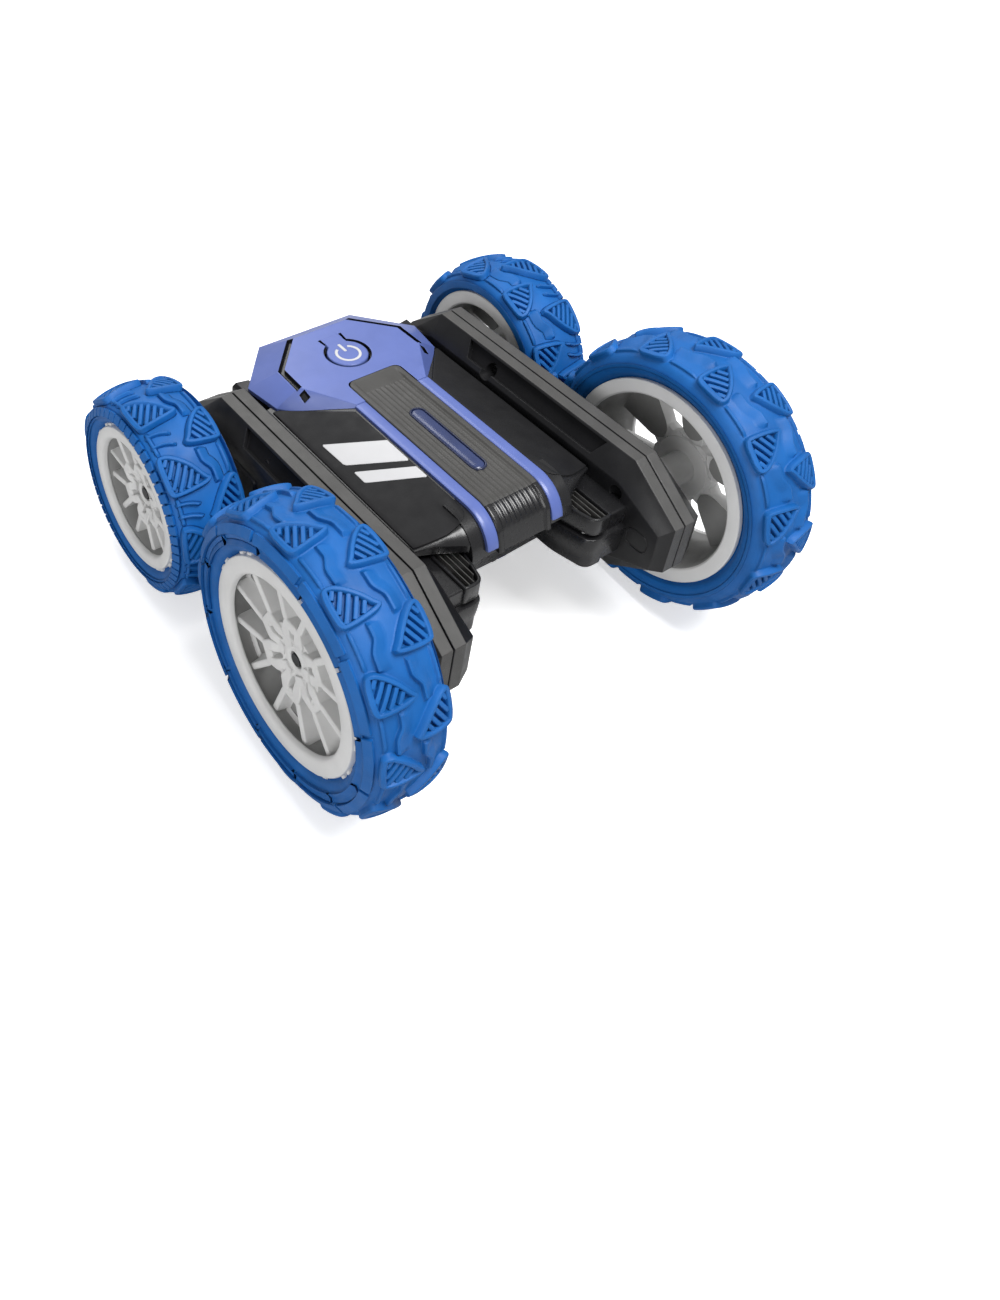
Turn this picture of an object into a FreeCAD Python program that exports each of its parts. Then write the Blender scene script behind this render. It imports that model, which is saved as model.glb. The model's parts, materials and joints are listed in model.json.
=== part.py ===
import FreeCAD, Part
import math
import os
import re

import Sketcher

# Double-sided stunt car. A flat body hangs between two narrow arms. Each arm holds a motor, a reduction
# gear and a gear train that joins a large front wheel to a small rear wheel.
#
# All pieces are drawn in the car's level frame, in millimetres: +X is right, -Y is the end with the large
# wheels, +Z is up, and the plane z = 0 holds the front wheel axis and the seam of the body. stand() then sets
# the car on the ground: the small rear wheels let it lean back. In that frame the origin is on the ground at
# the middle of the footprint. The left arm is the mirror image of the right one.

DRIVING = {
    # wheels
    "front_tyre_radius": 43,
    "rear_tyre_radius": 32.25,
    "front_rim_radius": 30,
    "rear_rim_radius": 22.2,
    "rim_outer_x": 75.7,
    "rim_inner_x": 55.8,
    "rim_flange_width": 1.5,
    "rim_flange_ratio": 1.07,
    "rim_ring_ratio": 0.82,
    "barrel_drop": 2.5,
    "barrel_wall": 1.6,
    "web_inner_x": 66,
    "web_outer_x": 69,
    "hub_inner_x": 54.3,
    "hub_outer_x": 70,
    "hub_radius": 5,
    "rim_windows": 5,
    "window_root_ratio": 1.7,
    "window_root_half": 1.2,
    "window_reach_ratio": 0.88,
    "window_half_ratio": 0.32,
    "window_bow": 1.5,
    "tyre_bulge": 1.1,
    "tyre_shoulder_drop": 2.6,
    # axles, pins and fasteners
    "axle_radius": 1.5,
    "axle_inner_x": 41,
    "bush_radius": 2.6,
    "bush_flange_radius": 3.6,
    "bush_flange": 0.5,
    "bush_gap": 0.4,
    "running_gap": 0.04,
    "pin_radius": 1,
    "pin_depth": 0.9,
    "screw_radius": 0.9,
    "screw_head_radius": 1.7,
    "screw_head": 1.4,
    "screw_gap": 0.15,
    "wheel_screw_head_radius": 2.2,
    "wheel_screw_head_taper": 0.4,
    "wheel_screw_length": 6.5,
    "drill_rest": 0.5,
    # gears
    "gear_module": 0.5,
    "front_gear_teeth": 28,
    "rear_gear_teeth": 21,
    "idler_teeth": 44,
    "motor_pinion_teeth": 8,
    "reduction_teeth": 30,
    "reduction_pinion_teeth": 10,
    "gear_backlash": 0.14,
    "rear_axle_drop": 3.84,
    # motor
    "motor_radius": 7.6,
    "motor_shaft_radius": 0.75,
    "motor_chamfer": 0.6,
    "motor_end_chamfer": 0.4,
    "motor_gap": 0.1,
    "shaft_depth": 4.8,
    "shaft_end_gap": 0.2,
    "lead_radius": 0.6,
    "lead_hole_radius": 0.9,
    "lead_back": 5.5,
    # arm case
    "arm_seam_x": 40.9,
    "arm_strip_half": 4,
    "arm_half_width": 8.1,
    "arm_half_height": 20.1,
    "arm_shoulder_y": 44.7,
    "arm_tip_y": 62.9,
    "arm_tip_half": 8,
    "arm_rump_y": 39.9,
    "arm_end_y": 54,
    "arm_end_half": 9,
    "arm_bevel": 6.6,
    "arm_bevel_trim": 2,
    "case_wall": 1.6,
    "motor_case_x": 18.5,
    "motor_case_half_length": 10.4,
    "motor_case_half_height": 9.3,
    "lug_x": 28,
    "lug_half_height": 13,
    "front_post_y": -43.8,
    "front_post_z": 9.9,
    "rear_post_y": 13.5,
    "rear_post_z": 14.8,
    "post_radius": 2.3,
    "axle_tube_radius": 4.4,
    "axle_tube_end_x": 53.4,
    "lug_root_y": 46,
    "lug_edge": 0.5,
    "mount_front_y": -14,
    "mount_back_y": 20,
    "mount_half_height": 10,
    "mount_boss_radius": 2.2,
    "mount_boss_x": 38,
    "mount_drill_x": 37,
    "pin_boss_radius": 2.4,
    "gear_side_gap": 0.3,
    "screw_seat_x": 36,
    "case_screw_end_x": 46.5,
    "weld": 0.5,
    # body
    "body_half_width": 31.4,
    "body_wall": 1.6,
    "body_back_y": 36,
    "panel_edge_z": 12.3,
    "deck_half_width": 13.4,
    "deck_z": 17.9,
    "nose_half_width": 17.8,
    "nose_front_y": -42.3,
    "nose_radius": 10,
    "nose_root": 4,
    "chin_y": -36,
    "chin_deck_y": -27,
    "head_edge_z": 12.6,
    "head_root_y": 15.6,
    "head_side_x": 29.7,
    "head_side_y": 33.6,
    "head_corner_x": 31.6,
    "head_corner_y": 46.2,
    "head_back_x": 17.4,
    "head_back_y": 62.4,
    "plateau_root_y": 17.5,
    "plateau_root_trim": 0.6,
    "plateau_side_x": 22.3,
    "plateau_side_y": 33,
    "plateau_corner_x": 22.1,
    "plateau_corner_y": 42.7,
    "plateau_back_x": 11.1,
    "plateau_back_y": 54.5,
    "trim_thickness": 1.2,
    "stripe_inner_x": 9.6,
    "spine_half_width": 9.4,
    "spine_thickness": 1.4,
    "spine_back_y": 27,
    "spine_gap": 0.3,
    "lens_half_width": 2.25,
    "lens_front_y": -23.4,
    "lens_back_y": 7,
    "button_y": 39.6,
    "button_radius": 6.7,
    "button_gap": 0.2,
    "button_travel": 0.8,
    "button_lip": 1.1,
    "button_lip_gap": 0.1,
    "button_stem_radius": 2,
    "stripe_back_y": 20,
    "lens_rise": 0.2,
    "lens_gap": 0.05,
    "lens_bow": 0.92,
    "body_screw_x": 25.5,
    "body_screw_front_y": -22,
    "body_screw_back_y": 38,
    "body_screw_seat_z": 10,
    "body_screw_end_z": 8.5,
    "body_boss_radius": 2.6,
    "bay_half_width": 8.2,
    "bay_front_y": -24,
    "bay_back_y": 22,
    "arm_screw_front_y": -8,
    "arm_screw_back_y": 14,
    "arm_screw_z": 6,
    "arm_screw_end_x": 36.8,
    "motor_case_room": 0.6,
    "motor_case_side_room": 0.2,
    # inside the body
    "board_z": 6,
    "board_thickness": 1.2,
    "board_half_width": 19,
    "board_front_y": -24,
    "board_back_y": 46,
    "switch_half": 3,
    "switch_height": 6,
    "lamp_half": 1.6,
    "lamp_foot": 2,
    "lamp_dome_radius": 1.3,
    "cell_radius": 7,
    "cell_front_y": -23,
    "cell_back_y": 21,
    "cell_z": -8.2,
    "speaker_radius": 9.5,
    "speaker_magnet_radius": 5,
    "speaker_bottom_z": -9,
    "speaker_step_z": -6.5,
    "speaker_top_z": -4,
    "speaker_y": 40,
    "antenna_x": 21,
    "antenna_radius": 0.5,
    "antenna_back_y": 34,
    "antenna_length": 31,
    "socket_half_width": 4.5,
    "socket_half_height": 3,
    "socket_inner_y": 55,
    "socket_gap": 0.1,
    "socket_bore_radius": 1.75,
    "socket_depth": 6,
    # beyond every wall, for cutting tools
    "far": 70,
}

DERIVED = {
    "arm_inner_x": "=arm_seam_x - arm_half_width",
    "arm_outer_x": "=arm_seam_x + arm_half_width",
    "cavity_inner_x": "=arm_inner_x + case_wall",
    "cavity_outer_x": "=arm_outer_x - case_wall",
    "axle_distance": "=gear_module * ((front_gear_teeth + rear_gear_teeth) / 2 + 3 * idler_teeth)",
    "wheelbase": "=sqrt(axle_distance ^ 2 - rear_axle_drop ^ 2)",
    "front_axle_y": "=-wheelbase / 2",
    "rear_axle_y": "=wheelbase / 2",
    "nose_centre_y": "=nose_front_y + nose_radius",
    "nose_centre_z": "=deck_z - nose_radius",
    "trim_z": "=deck_z + trim_thickness",
}

# The gears' places along the arm, in x: (start, end).
AXLE_GEAR_X = (41.6, 45.2)
IDLER_X = (41.9, 44.9)
REDUCTION_X = (36, 38.8)
REDUCTION_PINION_X = (38.8, 45.2)
MOTOR_PINION_X = (35.2, 39.3)
MOTOR_X = (20, 34.3)
BUSH_START = f"{AXLE_GEAR_X[1]} + bush_gap"

# The heights of a motor's two leads.
LEAD_LEVELS = (2, 4)

PRESSURE_SLOPE = math.tan(math.radians(20))
QUARTER_SAGITTA = 1 - math.cos(math.radians(45))
SIDES = {"right": 1, "left": -1}

document = FreeCAD.newDocument("StuntCar")
nodes = []


def make_sheet():
    """Fills the sheet with the driving dimensions and the ones worked out from them."""
    table = document.addObject("Spreadsheet::Sheet", "Dims")
    for row, (alias, content) in enumerate({**DRIVING, **DERIVED}.items(), start=1):
        table.set(f"A{row}", alias)
        table.set(f"B{row}", str(content))
        table.setAlias(f"B{row}", alias)
    document.recompute()
    return table


sheet = make_sheet()


def number(formula):
    """The value of a formula of the sheet's aliases."""
    value = sheet.evalExpression(str(formula))
    return float(getattr(value, "Value", value))


def bind(target, path, formula):
    """Ties a property to a formula of the sheet's aliases."""
    target.setExpression(path, re.sub(r"\b[a-z]\w*\b(?!\()", r"Dims.\g<0>", str(formula)))


# ---------------------------------------------------------------- frame


def ground_placement():
    """Level frame to ground frame: the lean that puts all four tyres on the ground, and the lift."""
    front, rear = number("front_tyre_radius"), number("rear_tyre_radius")
    distance, drop, base = number("axle_distance"), number("rear_axle_drop"), number("wheelbase")
    lean = math.asin((front - rear) / distance) - math.atan2(drop, base)
    turn = FreeCAD.Rotation(FreeCAD.Vector(1, 0, 0), -math.degrees(lean))
    front_axle = turn.multVec(FreeCAD.Vector(0, -base / 2, 0))
    rear_axle = turn.multVec(FreeCAD.Vector(0, base / 2, -drop))
    middle = (front_axle.y - front + rear_axle.y + rear) / 2
    return FreeCAD.Placement(FreeCAD.Vector(0, -middle, front - front_axle.z), turn)


GROUND = ground_placement()


def at(y=0, z=0, turn=0, flip=False):
    """A place in the level frame: moved along Y and Z, turned about X, or flipped over for the underside."""
    axis = FreeCAD.Vector(0, 1, 0) if flip else FreeCAD.Vector(1, 0, 0)
    angle = 180 if flip else turn
    return FreeCAD.Placement(FreeCAD.Vector(0, y, z), FreeCAD.Rotation(axis, angle))


def stand(piece, label, place=None):
    """Names a finished sub-part and sets it on the ground with the rest of the car."""
    piece.Label = label
    piece.Placement = GROUND.multiply(place or FreeCAD.Placement())
    nodes.append(piece)
    return piece


def both_sides(piece, name, place=None):
    """Keeps a right-hand sub-part and adds its mirror image for the left arm."""
    stand(piece, f"{name}_right", place)
    mirror = document.addObject("Part::Mirroring", f"{name}_mirror")
    mirror.Source = piece
    mirror.Normal = FreeCAD.Vector(1, 0, 0)
    mirror.Label = f"{name}_left"
    nodes.append(mirror)


# ---------------------------------------------------------------- sketches


def sagitta_point(start, end, sagitta):
    """The middle of an arc that bulges to the right of the way from start to end."""
    along = (end - start).normalize()
    return (start + end) * 0.5 + FreeCAD.Vector(along.y, -along.x, 0) * sagitta


def hold(sketch, geometry, position, u, v):
    """Fixes a point of a sketch at (u, v), each a formula."""
    for kind, formula, axis in (("DistanceX", u, -2), ("DistanceY", v, -1)):
        value = number(formula)
        if abs(value) < 1e-9:
            sketch.addConstraint(Sketcher.Constraint("PointOnObject", geometry, position, axis))
            continue
        index = sketch.addConstraint(Sketcher.Constraint(kind, -1, 1, geometry, position, value))
        bind(sketch, f"Constraints[{index}]", formula)


def outline(sketch, corners):
    """A closed outline. A corner is (u, v), or (u, v, sagitta) where an arc leads to the next corner."""
    points = [FreeCAD.Vector(number(c[0]), number(c[1]), 0) for c in corners]
    count = len(corners)
    first = sketch.GeometryCount
    starts = []
    for index, corner in enumerate(corners):
        start, end = points[index], points[(index + 1) % count]
        if len(corner) == 2:
            sketch.addGeometry(Part.LineSegment(start, end))
            starts.append(1)
            continue
        sagitta = number(corner[2])
        middle = sagitta_point(start, end, sagitta)
        counterclockwise = (start, middle, end) if sagitta > 0 else (end, middle, start)
        sketch.addGeometry(Part.Arc(*counterclockwise))
        starts.append(1 if sagitta > 0 else 2)
    for index, corner in enumerate(corners):
        following = (index + 1) % count
        leave, arrive = 3 - starts[index], starts[following]
        sketch.addConstraint(
            Sketcher.Constraint("Coincident", first + index, leave, first + following, arrive)
        )
        hold(sketch, first + index, starts[index], corner[0], corner[1])
        if len(corner) == 3:
            after = corners[following]
            chord = f"(({after[0]}) - ({corner[0]})) ^ 2 + (({after[1]}) - ({corner[1]})) ^ 2"
            rise = f"abs({corner[2]})"
            radius = f"({chord}) / (8 * {rise}) + {rise} / 2"
            arc = Sketcher.Constraint("Radius", first + index, number(radius))
            bind(sketch, f"Constraints[{sketch.addConstraint(arc)}]", radius)


def circle(sketch, u, v, radius):
    """A circle held by its centre and its radius."""
    centre = FreeCAD.Vector(number(u), number(v), 0)
    index = sketch.addGeometry(Part.Circle(centre, FreeCAD.Vector(0, 0, 1), number(radius)))
    hold(sketch, index, 3, u, v)
    size = sketch.addConstraint(Sketcher.Constraint("Radius", index, number(radius)))
    bind(sketch, f"Constraints[{size}]", radius)


def rectangle(sketch, low_u, high_u, low_v, high_v):
    outline(sketch, [(low_u, low_v), (high_u, low_v), (high_u, high_v), (low_u, high_v)])


def body_sketch(body, plane, offset="0"):
    """A sketch on an origin plane of its body, moved along the plane's normal."""
    sketch = body.newObject("Sketcher::SketchObject", "Sketch")
    support = [feature for feature in body.Origin.OriginFeatures if feature.Role == plane][0]
    sketch.AttachmentSupport = (support, "")
    sketch.MapMode = "FlatFace"
    bind(sketch, "AttachmentOffset.Base.z", offset)
    return sketch


PLANE_TURNS = {
    "XY": FreeCAD.Rotation(),
    "XZ": FreeCAD.Rotation(FreeCAD.Vector(1, 0, 0), 90),
    "YZ": FreeCAD.Rotation(FreeCAD.Vector(1, 1, 1), 120),
}


def free_sketch(plane, axis_path=None, offset="0"):
    """A sketch that stands alone, for Part extrusions and lofts, moved along one axis of the frame."""
    sketch = document.addObject("Sketcher::SketchObject", "Profile")
    sketch.Placement = FreeCAD.Placement(FreeCAD.Vector(), PLANE_TURNS[plane])
    if axis_path:
        bind(sketch, f"Placement.Base.{axis_path}", offset)
    return sketch


# ---------------------------------------------------------------- PartDesign features


def new_body(name):
    return document.addObject("PartDesign::Body", name)


def pad(body, sketch, length, backward=False):
    feature = body.newObject("PartDesign::Pad", "Pad")
    feature.Profile = sketch
    bind(feature, "Length", length)
    feature.Reversed = backward
    return feature


def pocket(body, sketch, length, forward=False):
    """Cuts against the sketch's normal, or along it when forward."""
    feature = body.newObject("PartDesign::Pocket", "Pocket")
    feature.Profile = sketch
    bind(feature, "Length", length)
    feature.Reversed = forward
    return feature


def revolve(body, sketch):
    """A full turn about the sketch's horizontal axis."""
    feature = body.newObject("PartDesign::Revolution", "Revolution")
    feature.Profile = sketch
    feature.ReferenceAxis = (sketch, ["H_Axis"])
    feature.Angle = 360
    return feature


def turned(name, corners):
    """A body of revolution about the X axis from an outline in (x, radius)."""
    body = new_body(name)
    sketch = body_sketch(body, "XY_Plane")
    outline(sketch, corners)
    revolve(body, sketch)
    return body


def disc_pad(body, places, radius, start, end):
    """Round posts along X at each (y, z) place, from start to end."""
    sketch = body_sketch(body, "YZ_Plane", start)
    for y, z in places:
        circle(sketch, y, z, radius)
    return pad(body, sketch, f"({end}) - ({start})")


def disc_pocket(body, places, radius, start, end):
    """Round holes along X at each (y, z) place, from start to end."""
    sketch = body_sketch(body, "YZ_Plane", start)
    for y, z in places:
        circle(sketch, y, z, radius)
    return pocket(body, sketch, f"({end}) - ({start})", forward=True)


# ---------------------------------------------------------------- Part primitives


def cylinder(radius, start, end, y="0", z="0", x="0", axis="X"):
    """A cylinder along X, or along Z, with its ends at start and end."""
    piece = document.addObject("Part::Cylinder", "Cylinder")
    bind(piece, "Radius", radius)
    bind(piece, "Height", f"({end}) - ({start})")
    base = {"x": x, "y": y, "z": z}
    base[axis.lower()] = start
    if axis == "X":
        piece.Placement = FreeCAD.Placement(
            FreeCAD.Vector(), FreeCAD.Rotation(FreeCAD.Vector(0, 1, 0), 90)
        )
    for path, formula in base.items():
        bind(piece, f"Placement.Base.{path}", formula)
    return piece


def box(low, high):
    """A box between two corners, each three formulas."""
    piece = document.addObject("Part::Box", "Box")
    for size, path, start, end in zip(("Length", "Width", "Height"), "xyz", low, high):
        bind(piece, size, f"({end}) - ({start})")
        bind(piece, f"Placement.Base.{path}", start)
    return piece


def joined(name, pieces):
    if len(pieces) == 1:
        return pieces[0]
    feature = document.addObject("Part::MultiFuse", name)
    feature.Shapes = pieces
    return feature


def cut(name, base, tool):
    feature = document.addObject("Part::Cut", name)
    feature.Base = base
    feature.Tool = tool
    return feature


def group(name, pieces):
    """Identical separate solids under one name."""
    feature = document.addObject("Part::Compound", name)
    feature.Links = pieces
    return feature


def mirrored_group(name, pieces):
    """Identical separate solids on the right and on the left, under one name."""
    mirrors = []
    for piece in pieces:
        mirror = document.addObject("Part::Mirroring", "Mirror")
        mirror.Source = piece
        mirror.Normal = FreeCAD.Vector(1, 0, 0)
        mirrors.append(mirror)
    return group(name, pieces + mirrors)


def extrusion(sketch, length):
    feature = document.addObject("Part::Extrusion", "Extrusion")
    feature.Base = sketch
    feature.DirMode = "Normal"
    feature.Solid = True
    bind(feature, "LengthFwd", length)
    return feature


def loft(sketches):
    feature = document.addObject("Part::Loft", "Loft")
    feature.Sections = sketches
    feature.Solid = True
    feature.Ruled = True
    return feature


# ---------------------------------------------------------------- gears


def gear_face(teeth, x):
    """The outline of a straight-flanked spur gear in the plane at x, with a tooth pointing along +Y."""
    module, backlash = number("gear_module"), number("gear_backlash")
    pitch = module * teeth / 2
    half_tooth = math.pi * module / 4 - backlash / 2
    addendum, dedendum = 0.9 * module, 1.25 * module
    flank = ((pitch - dedendum, half_tooth + dedendum * PRESSURE_SLOPE),
             (pitch + addendum, half_tooth - addendum * PRESSURE_SLOPE))
    points = []
    for tooth in range(teeth):
        middle = 2 * math.pi * tooth / teeth
        for side, pairs in ((-1, flank), (1, reversed(flank))):
            for radius, half in pairs:
                limit = math.pi / teeth * 0.92
                angle = middle + side * min(half / radius, limit)
                points.append(FreeCAD.Vector(x, radius * math.cos(angle), radius * math.sin(angle)))
    return Part.Face(Part.makePolygon(points + points[:1]))


def gear_solid(teeth, span):
    return gear_face(teeth, span[0]).extrude(FreeCAD.Vector(span[1] - span[0], 0, 0))


def gear(name, wheels, bore):
    """A gear about the X axis. wheels is a list of (teeth, span, turn in degrees)."""
    solid = None
    for teeth, span, turn in wheels:
        wheel = gear_solid(teeth, span)
        wheel.rotate(FreeCAD.Vector(), FreeCAD.Vector(1, 0, 0), turn)
        solid = wheel if solid is None else solid.fuse(wheel)
    start = min(span[0] for _, span, _ in wheels)
    end = max(span[1] for _, span, _ in wheels)
    hole = Part.makeCylinder(bore, end - start, FreeCAD.Vector(start, 0, 0), FreeCAD.Vector(1, 0, 0))
    feature = document.addObject("Part::Feature", name)
    feature.Shape = solid.cut(hole).removeSplitter()
    return feature


def train():
    """Every gear's centre on the right arm. The train runs straight from the front axle to the rear one."""
    module = number("gear_module")
    base, drop = number("wheelbase"), number("rear_axle_drop")
    slope = math.atan2(-drop, base)
    front, idler = number("front_gear_teeth") / 2, number("idler_teeth") / 2
    reduction = number("front_gear_teeth + reduction_pinion_teeth") / 2
    steps = {
        "reduction": -reduction,
        "front": 0,
        "idler_1": front + idler,
        "idler_2": front + 3 * idler,
        "idler_3": front + 5 * idler,
        "rear": front + 6 * idler + number("rear_gear_teeth") / 2,
    }
    places = {}
    for name, step in steps.items():
        along = step * module
        places[name] = (-base / 2 + along * math.cos(slope), along * math.sin(slope))
    return places, math.degrees(slope)


TRAIN, TRAIN_SLOPE = train()


def pin_places():
    """The fixed pins of the reduction gear and the three idler gears."""
    return [TRAIN[name] for name in ("reduction", "idler_1", "idler_2", "idler_3")]


def gears():
    """The gears of one arm, each turned so that teeth face gaps along the line of centres."""
    running = number("pin_radius + running_gap")
    idler_teeth, rear_teeth = DRIVING["idler_teeth"], DRIVING["rear_gear_teeth"]
    half_pitch = 180 / idler_teeth
    slope = TRAIN_SLOPE
    front = gear("FrontGear", [(DRIVING["front_gear_teeth"], AXLE_GEAR_X, slope)], number("axle_radius"))
    both_sides(front, "front_axle_gear", at(*TRAIN["front"]))
    for index, turn in enumerate((half_pitch, 0, half_pitch), start=1):
        idler = gear(f"Idler{index}", [(idler_teeth, IDLER_X, slope + turn)], running)
        both_sides(idler, f"idler_gear_{index}", at(*TRAIN[f"idler_{index}"]))
    rear = gear("RearGear", [(rear_teeth, AXLE_GEAR_X, slope + 180)], number("axle_radius"))
    both_sides(rear, "rear_axle_gear", at(*TRAIN["rear"]))
    small_teeth, big_teeth = DRIVING["reduction_pinion_teeth"], DRIVING["reduction_teeth"]
    wheels = [
        (big_teeth, REDUCTION_X, slope),
        (small_teeth, REDUCTION_PINION_X, slope + 180 / small_teeth),
    ]
    both_sides(gear("ReductionGear", wheels, running), "reduction_gear", at(*TRAIN["reduction"]))
    pinion_teeth = DRIVING["motor_pinion_teeth"]
    pinion = gear(
        "MotorPinion",
        [(pinion_teeth, MOTOR_PINION_X, slope + 180 + 180 / pinion_teeth)],
        number("motor_shaft_radius"),
    )
    both_sides(pinion, "motor_pinion", at(*TRAIN["front"]))


# ---------------------------------------------------------------- arm cases


def arm_outline(sketch, drop="0", trim="0"):
    """The arm's side view in (y, z), lowered by drop and shortened by trim."""
    shoulder_y = f"-(arm_shoulder_y - 0.4 * ({trim}))"
    tip_y = f"-(arm_tip_y - ({trim}))"
    rump_y = f"arm_rump_y - 0.4 * ({trim})"
    end_y = f"arm_end_y - ({trim})"
    top = f"arm_half_height - ({drop})"
    tip = f"arm_tip_half - 0.25 * ({drop})"
    end = f"arm_end_half - 0.25 * ({drop})"
    outline(
        sketch,
        [
            (shoulder_y, top),
            (tip_y, tip),
            (tip_y, f"-({tip})"),
            (shoulder_y, f"-({top})"),
            (rump_y, f"-({top})"),
            (end_y, f"-({end})"),
            (end_y, end),
            (rump_y, top),
        ],
    )


def case_half(name, outward):
    """Half of an arm's case: a flat rim at the seam, a bevelled outer face and a hollow for the gears."""
    body = new_body(name)
    away = "+" if outward else "-"
    rim_x = f"arm_seam_x {away} arm_strip_half"
    face_x = f"arm_seam_x {away} arm_half_width"
    rim = body_sketch(body, "YZ_Plane", "arm_seam_x")
    arm_outline(rim)
    pad(body, rim, "arm_strip_half", backward=not outward)
    wide = body_sketch(body, "YZ_Plane", rim_x)
    arm_outline(wide)
    narrow = body_sketch(body, "YZ_Plane", face_x)
    arm_outline(narrow, "arm_bevel", "arm_bevel_trim")
    bevel = body.newObject("PartDesign::AdditiveLoft", "Bevel")
    bevel.Profile = wide
    bevel.Sections = [narrow]
    bevel.Ruled = True
    shallow = body_sketch(body, "YZ_Plane", "arm_seam_x")
    arm_outline(shallow, "case_wall", "case_wall")
    pocket(body, shallow, "arm_strip_half", forward=outward)
    deep = body_sketch(body, "YZ_Plane", "arm_seam_x")
    arm_outline(deep, "arm_bevel + case_wall", "arm_bevel_trim + case_wall")
    pocket(body, deep, "arm_half_width - case_wall", forward=outward)
    return body


def post_places():
    """The four screw posts of an arm's case."""
    return [
        ("front_post_y", "front_post_z"),
        ("front_post_y", "-front_post_z"),
        ("rear_post_y", "rear_post_z"),
        ("rear_post_y", "-rear_post_z"),
    ]


def arm_screw_places():
    """The screws that hold an arm to the body: two through each half of the body."""
    rows = ("arm_screw_front_y", "arm_screw_back_y")
    return [(y, z) for z in ("arm_screw_z", "-arm_screw_z") for y in rows]


def inner_case():
    body = case_half("InnerCase", outward=False)
    motor_case = body_sketch(body, "YZ_Plane", "arm_inner_x + case_wall")
    rectangle(
        motor_case,
        "front_axle_y - motor_case_half_length",
        "front_axle_y + motor_case_half_length",
        "-motor_case_half_height",
        "motor_case_half_height",
    )
    pad(body, motor_case, "arm_inner_x + case_wall - motor_case_x", backward=True)
    lug = body_sketch(body, "XY_Plane", "-lug_half_height")
    outline(
        lug,
        [
            ("arm_inner_x + weld", "lug_root_y"),
            ("arm_inner_x + weld", "arm_end_y - arm_bevel_trim"),
            ("lug_x", "arm_end_y - arm_bevel_trim"),
            ("lug_x", "arm_end_y - arm_bevel_trim - lug_edge"),
            ("arm_inner_x", "lug_root_y"),
        ],
    )
    pad(body, lug, "2 * lug_half_height")
    mount = body_sketch(body, "YZ_Plane", "body_half_width")
    rectangle(mount, "mount_front_y", "mount_back_y", "-mount_half_height", "mount_half_height")
    pad(body, mount, "arm_inner_x - body_half_width + weld")
    reduction, idlers = pin_places()[:1], pin_places()[1:]
    boss_start = "cavity_inner_x - weld"
    disc_pad(body, idlers, "pin_boss_radius", boss_start, f"{IDLER_X[0]} - gear_side_gap")
    disc_pad(body, reduction, "pin_boss_radius", boss_start, f"{REDUCTION_X[0]} - gear_side_gap")
    disc_pad(body, post_places(), "post_radius", boss_start, "arm_seam_x")
    disc_pad(body, arm_screw_places(), "mount_boss_radius", boss_start, "mount_boss_x")
    disc_pocket(body, pin_places(), "pin_radius", "cavity_inner_x - pin_depth", IDLER_X[0])
    disc_pocket(body, post_places(), "screw_radius + screw_gap", "arm_inner_x", "arm_seam_x")
    disc_pocket(body, post_places(), "screw_head_radius + screw_gap", "motor_case_x", "screw_seat_x")
    disc_pocket(body, arm_screw_places(), "screw_radius", "motor_case_x", "mount_drill_x")
    motor_centre = [("front_axle_y", "0")]
    disc_pocket(body, motor_centre, "motor_radius + motor_gap", MOTOR_X[0], "cavity_inner_x")
    lead_holes = [("front_axle_y + lead_back", level) for level in LEAD_LEVELS]
    disc_pocket(body, lead_holes, "lead_hole_radius", "0", MOTOR_X[0])
    both_sides(body, "inner_case")


def outer_case():
    body = case_half("OuterCase", outward=True)
    axles = [("front_axle_y", "0"), ("rear_axle_y", "-rear_axle_drop")]
    disc_pad(body, axles, "axle_tube_radius", BUSH_START, "axle_tube_end_x")
    reduction, idlers = pin_places()[:1], pin_places()[1:]
    boss_end = "cavity_outer_x + weld"
    disc_pad(body, idlers, "pin_boss_radius", f"{IDLER_X[1]} + gear_side_gap", boss_end)
    start = f"{REDUCTION_PINION_X[1]} + gear_side_gap"
    disc_pad(body, reduction, "pin_boss_radius", start, boss_end)
    disc_pad(body, post_places(), "post_radius", "arm_seam_x", boss_end)
    disc_pocket(body, pin_places(), "pin_radius", "arm_seam_x", "cavity_outer_x + pin_depth")
    disc_pocket(body, post_places(), "screw_radius", "arm_seam_x", "case_screw_end_x")
    disc_pocket(body, axles, "bush_radius", "arm_seam_x", "axle_tube_end_x")
    both_sides(body, "outer_case")


def arm_fasteners():
    """The pins that carry the loose gears, and the screws that close an arm's case."""
    pins = []
    for y, z in pin_places():
        start, end = "cavity_inner_x - pin_depth", "cavity_outer_x + pin_depth"
        pins.append(cylinder("pin_radius", start, end, y, z))
    stand(mirrored_group("GearPins", pins), "gear_pins")
    screws = []
    for y, z in post_places():
        head = cylinder("screw_head_radius", "screw_seat_x - screw_head", "screw_seat_x", y, z)
        shank = cylinder("screw_radius", "screw_seat_x", "case_screw_end_x", y, z)
        screws.append(joined("CaseScrew", [head, shank]))
    stand(mirrored_group("CaseScrews", screws), "case_screws")


def axle_bushes():
    bushes = []
    for y, z in (("front_axle_y", "0"), ("rear_axle_y", "-rear_axle_drop")):
        start, end = BUSH_START, "axle_tube_end_x"
        tube = cylinder("bush_radius", start, end, y, z)
        flange = cylinder("bush_flange_radius", end, f"{end} + bush_flange", y, z)
        bore = cylinder("axle_radius + running_gap", start, f"{end} + bush_flange", y, z)
        bushes.append(cut("Bush", joined("BushOutside", [tube, flange]), bore))
    stand(mirrored_group("AxleBushes", bushes), "axle_bushes")


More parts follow.
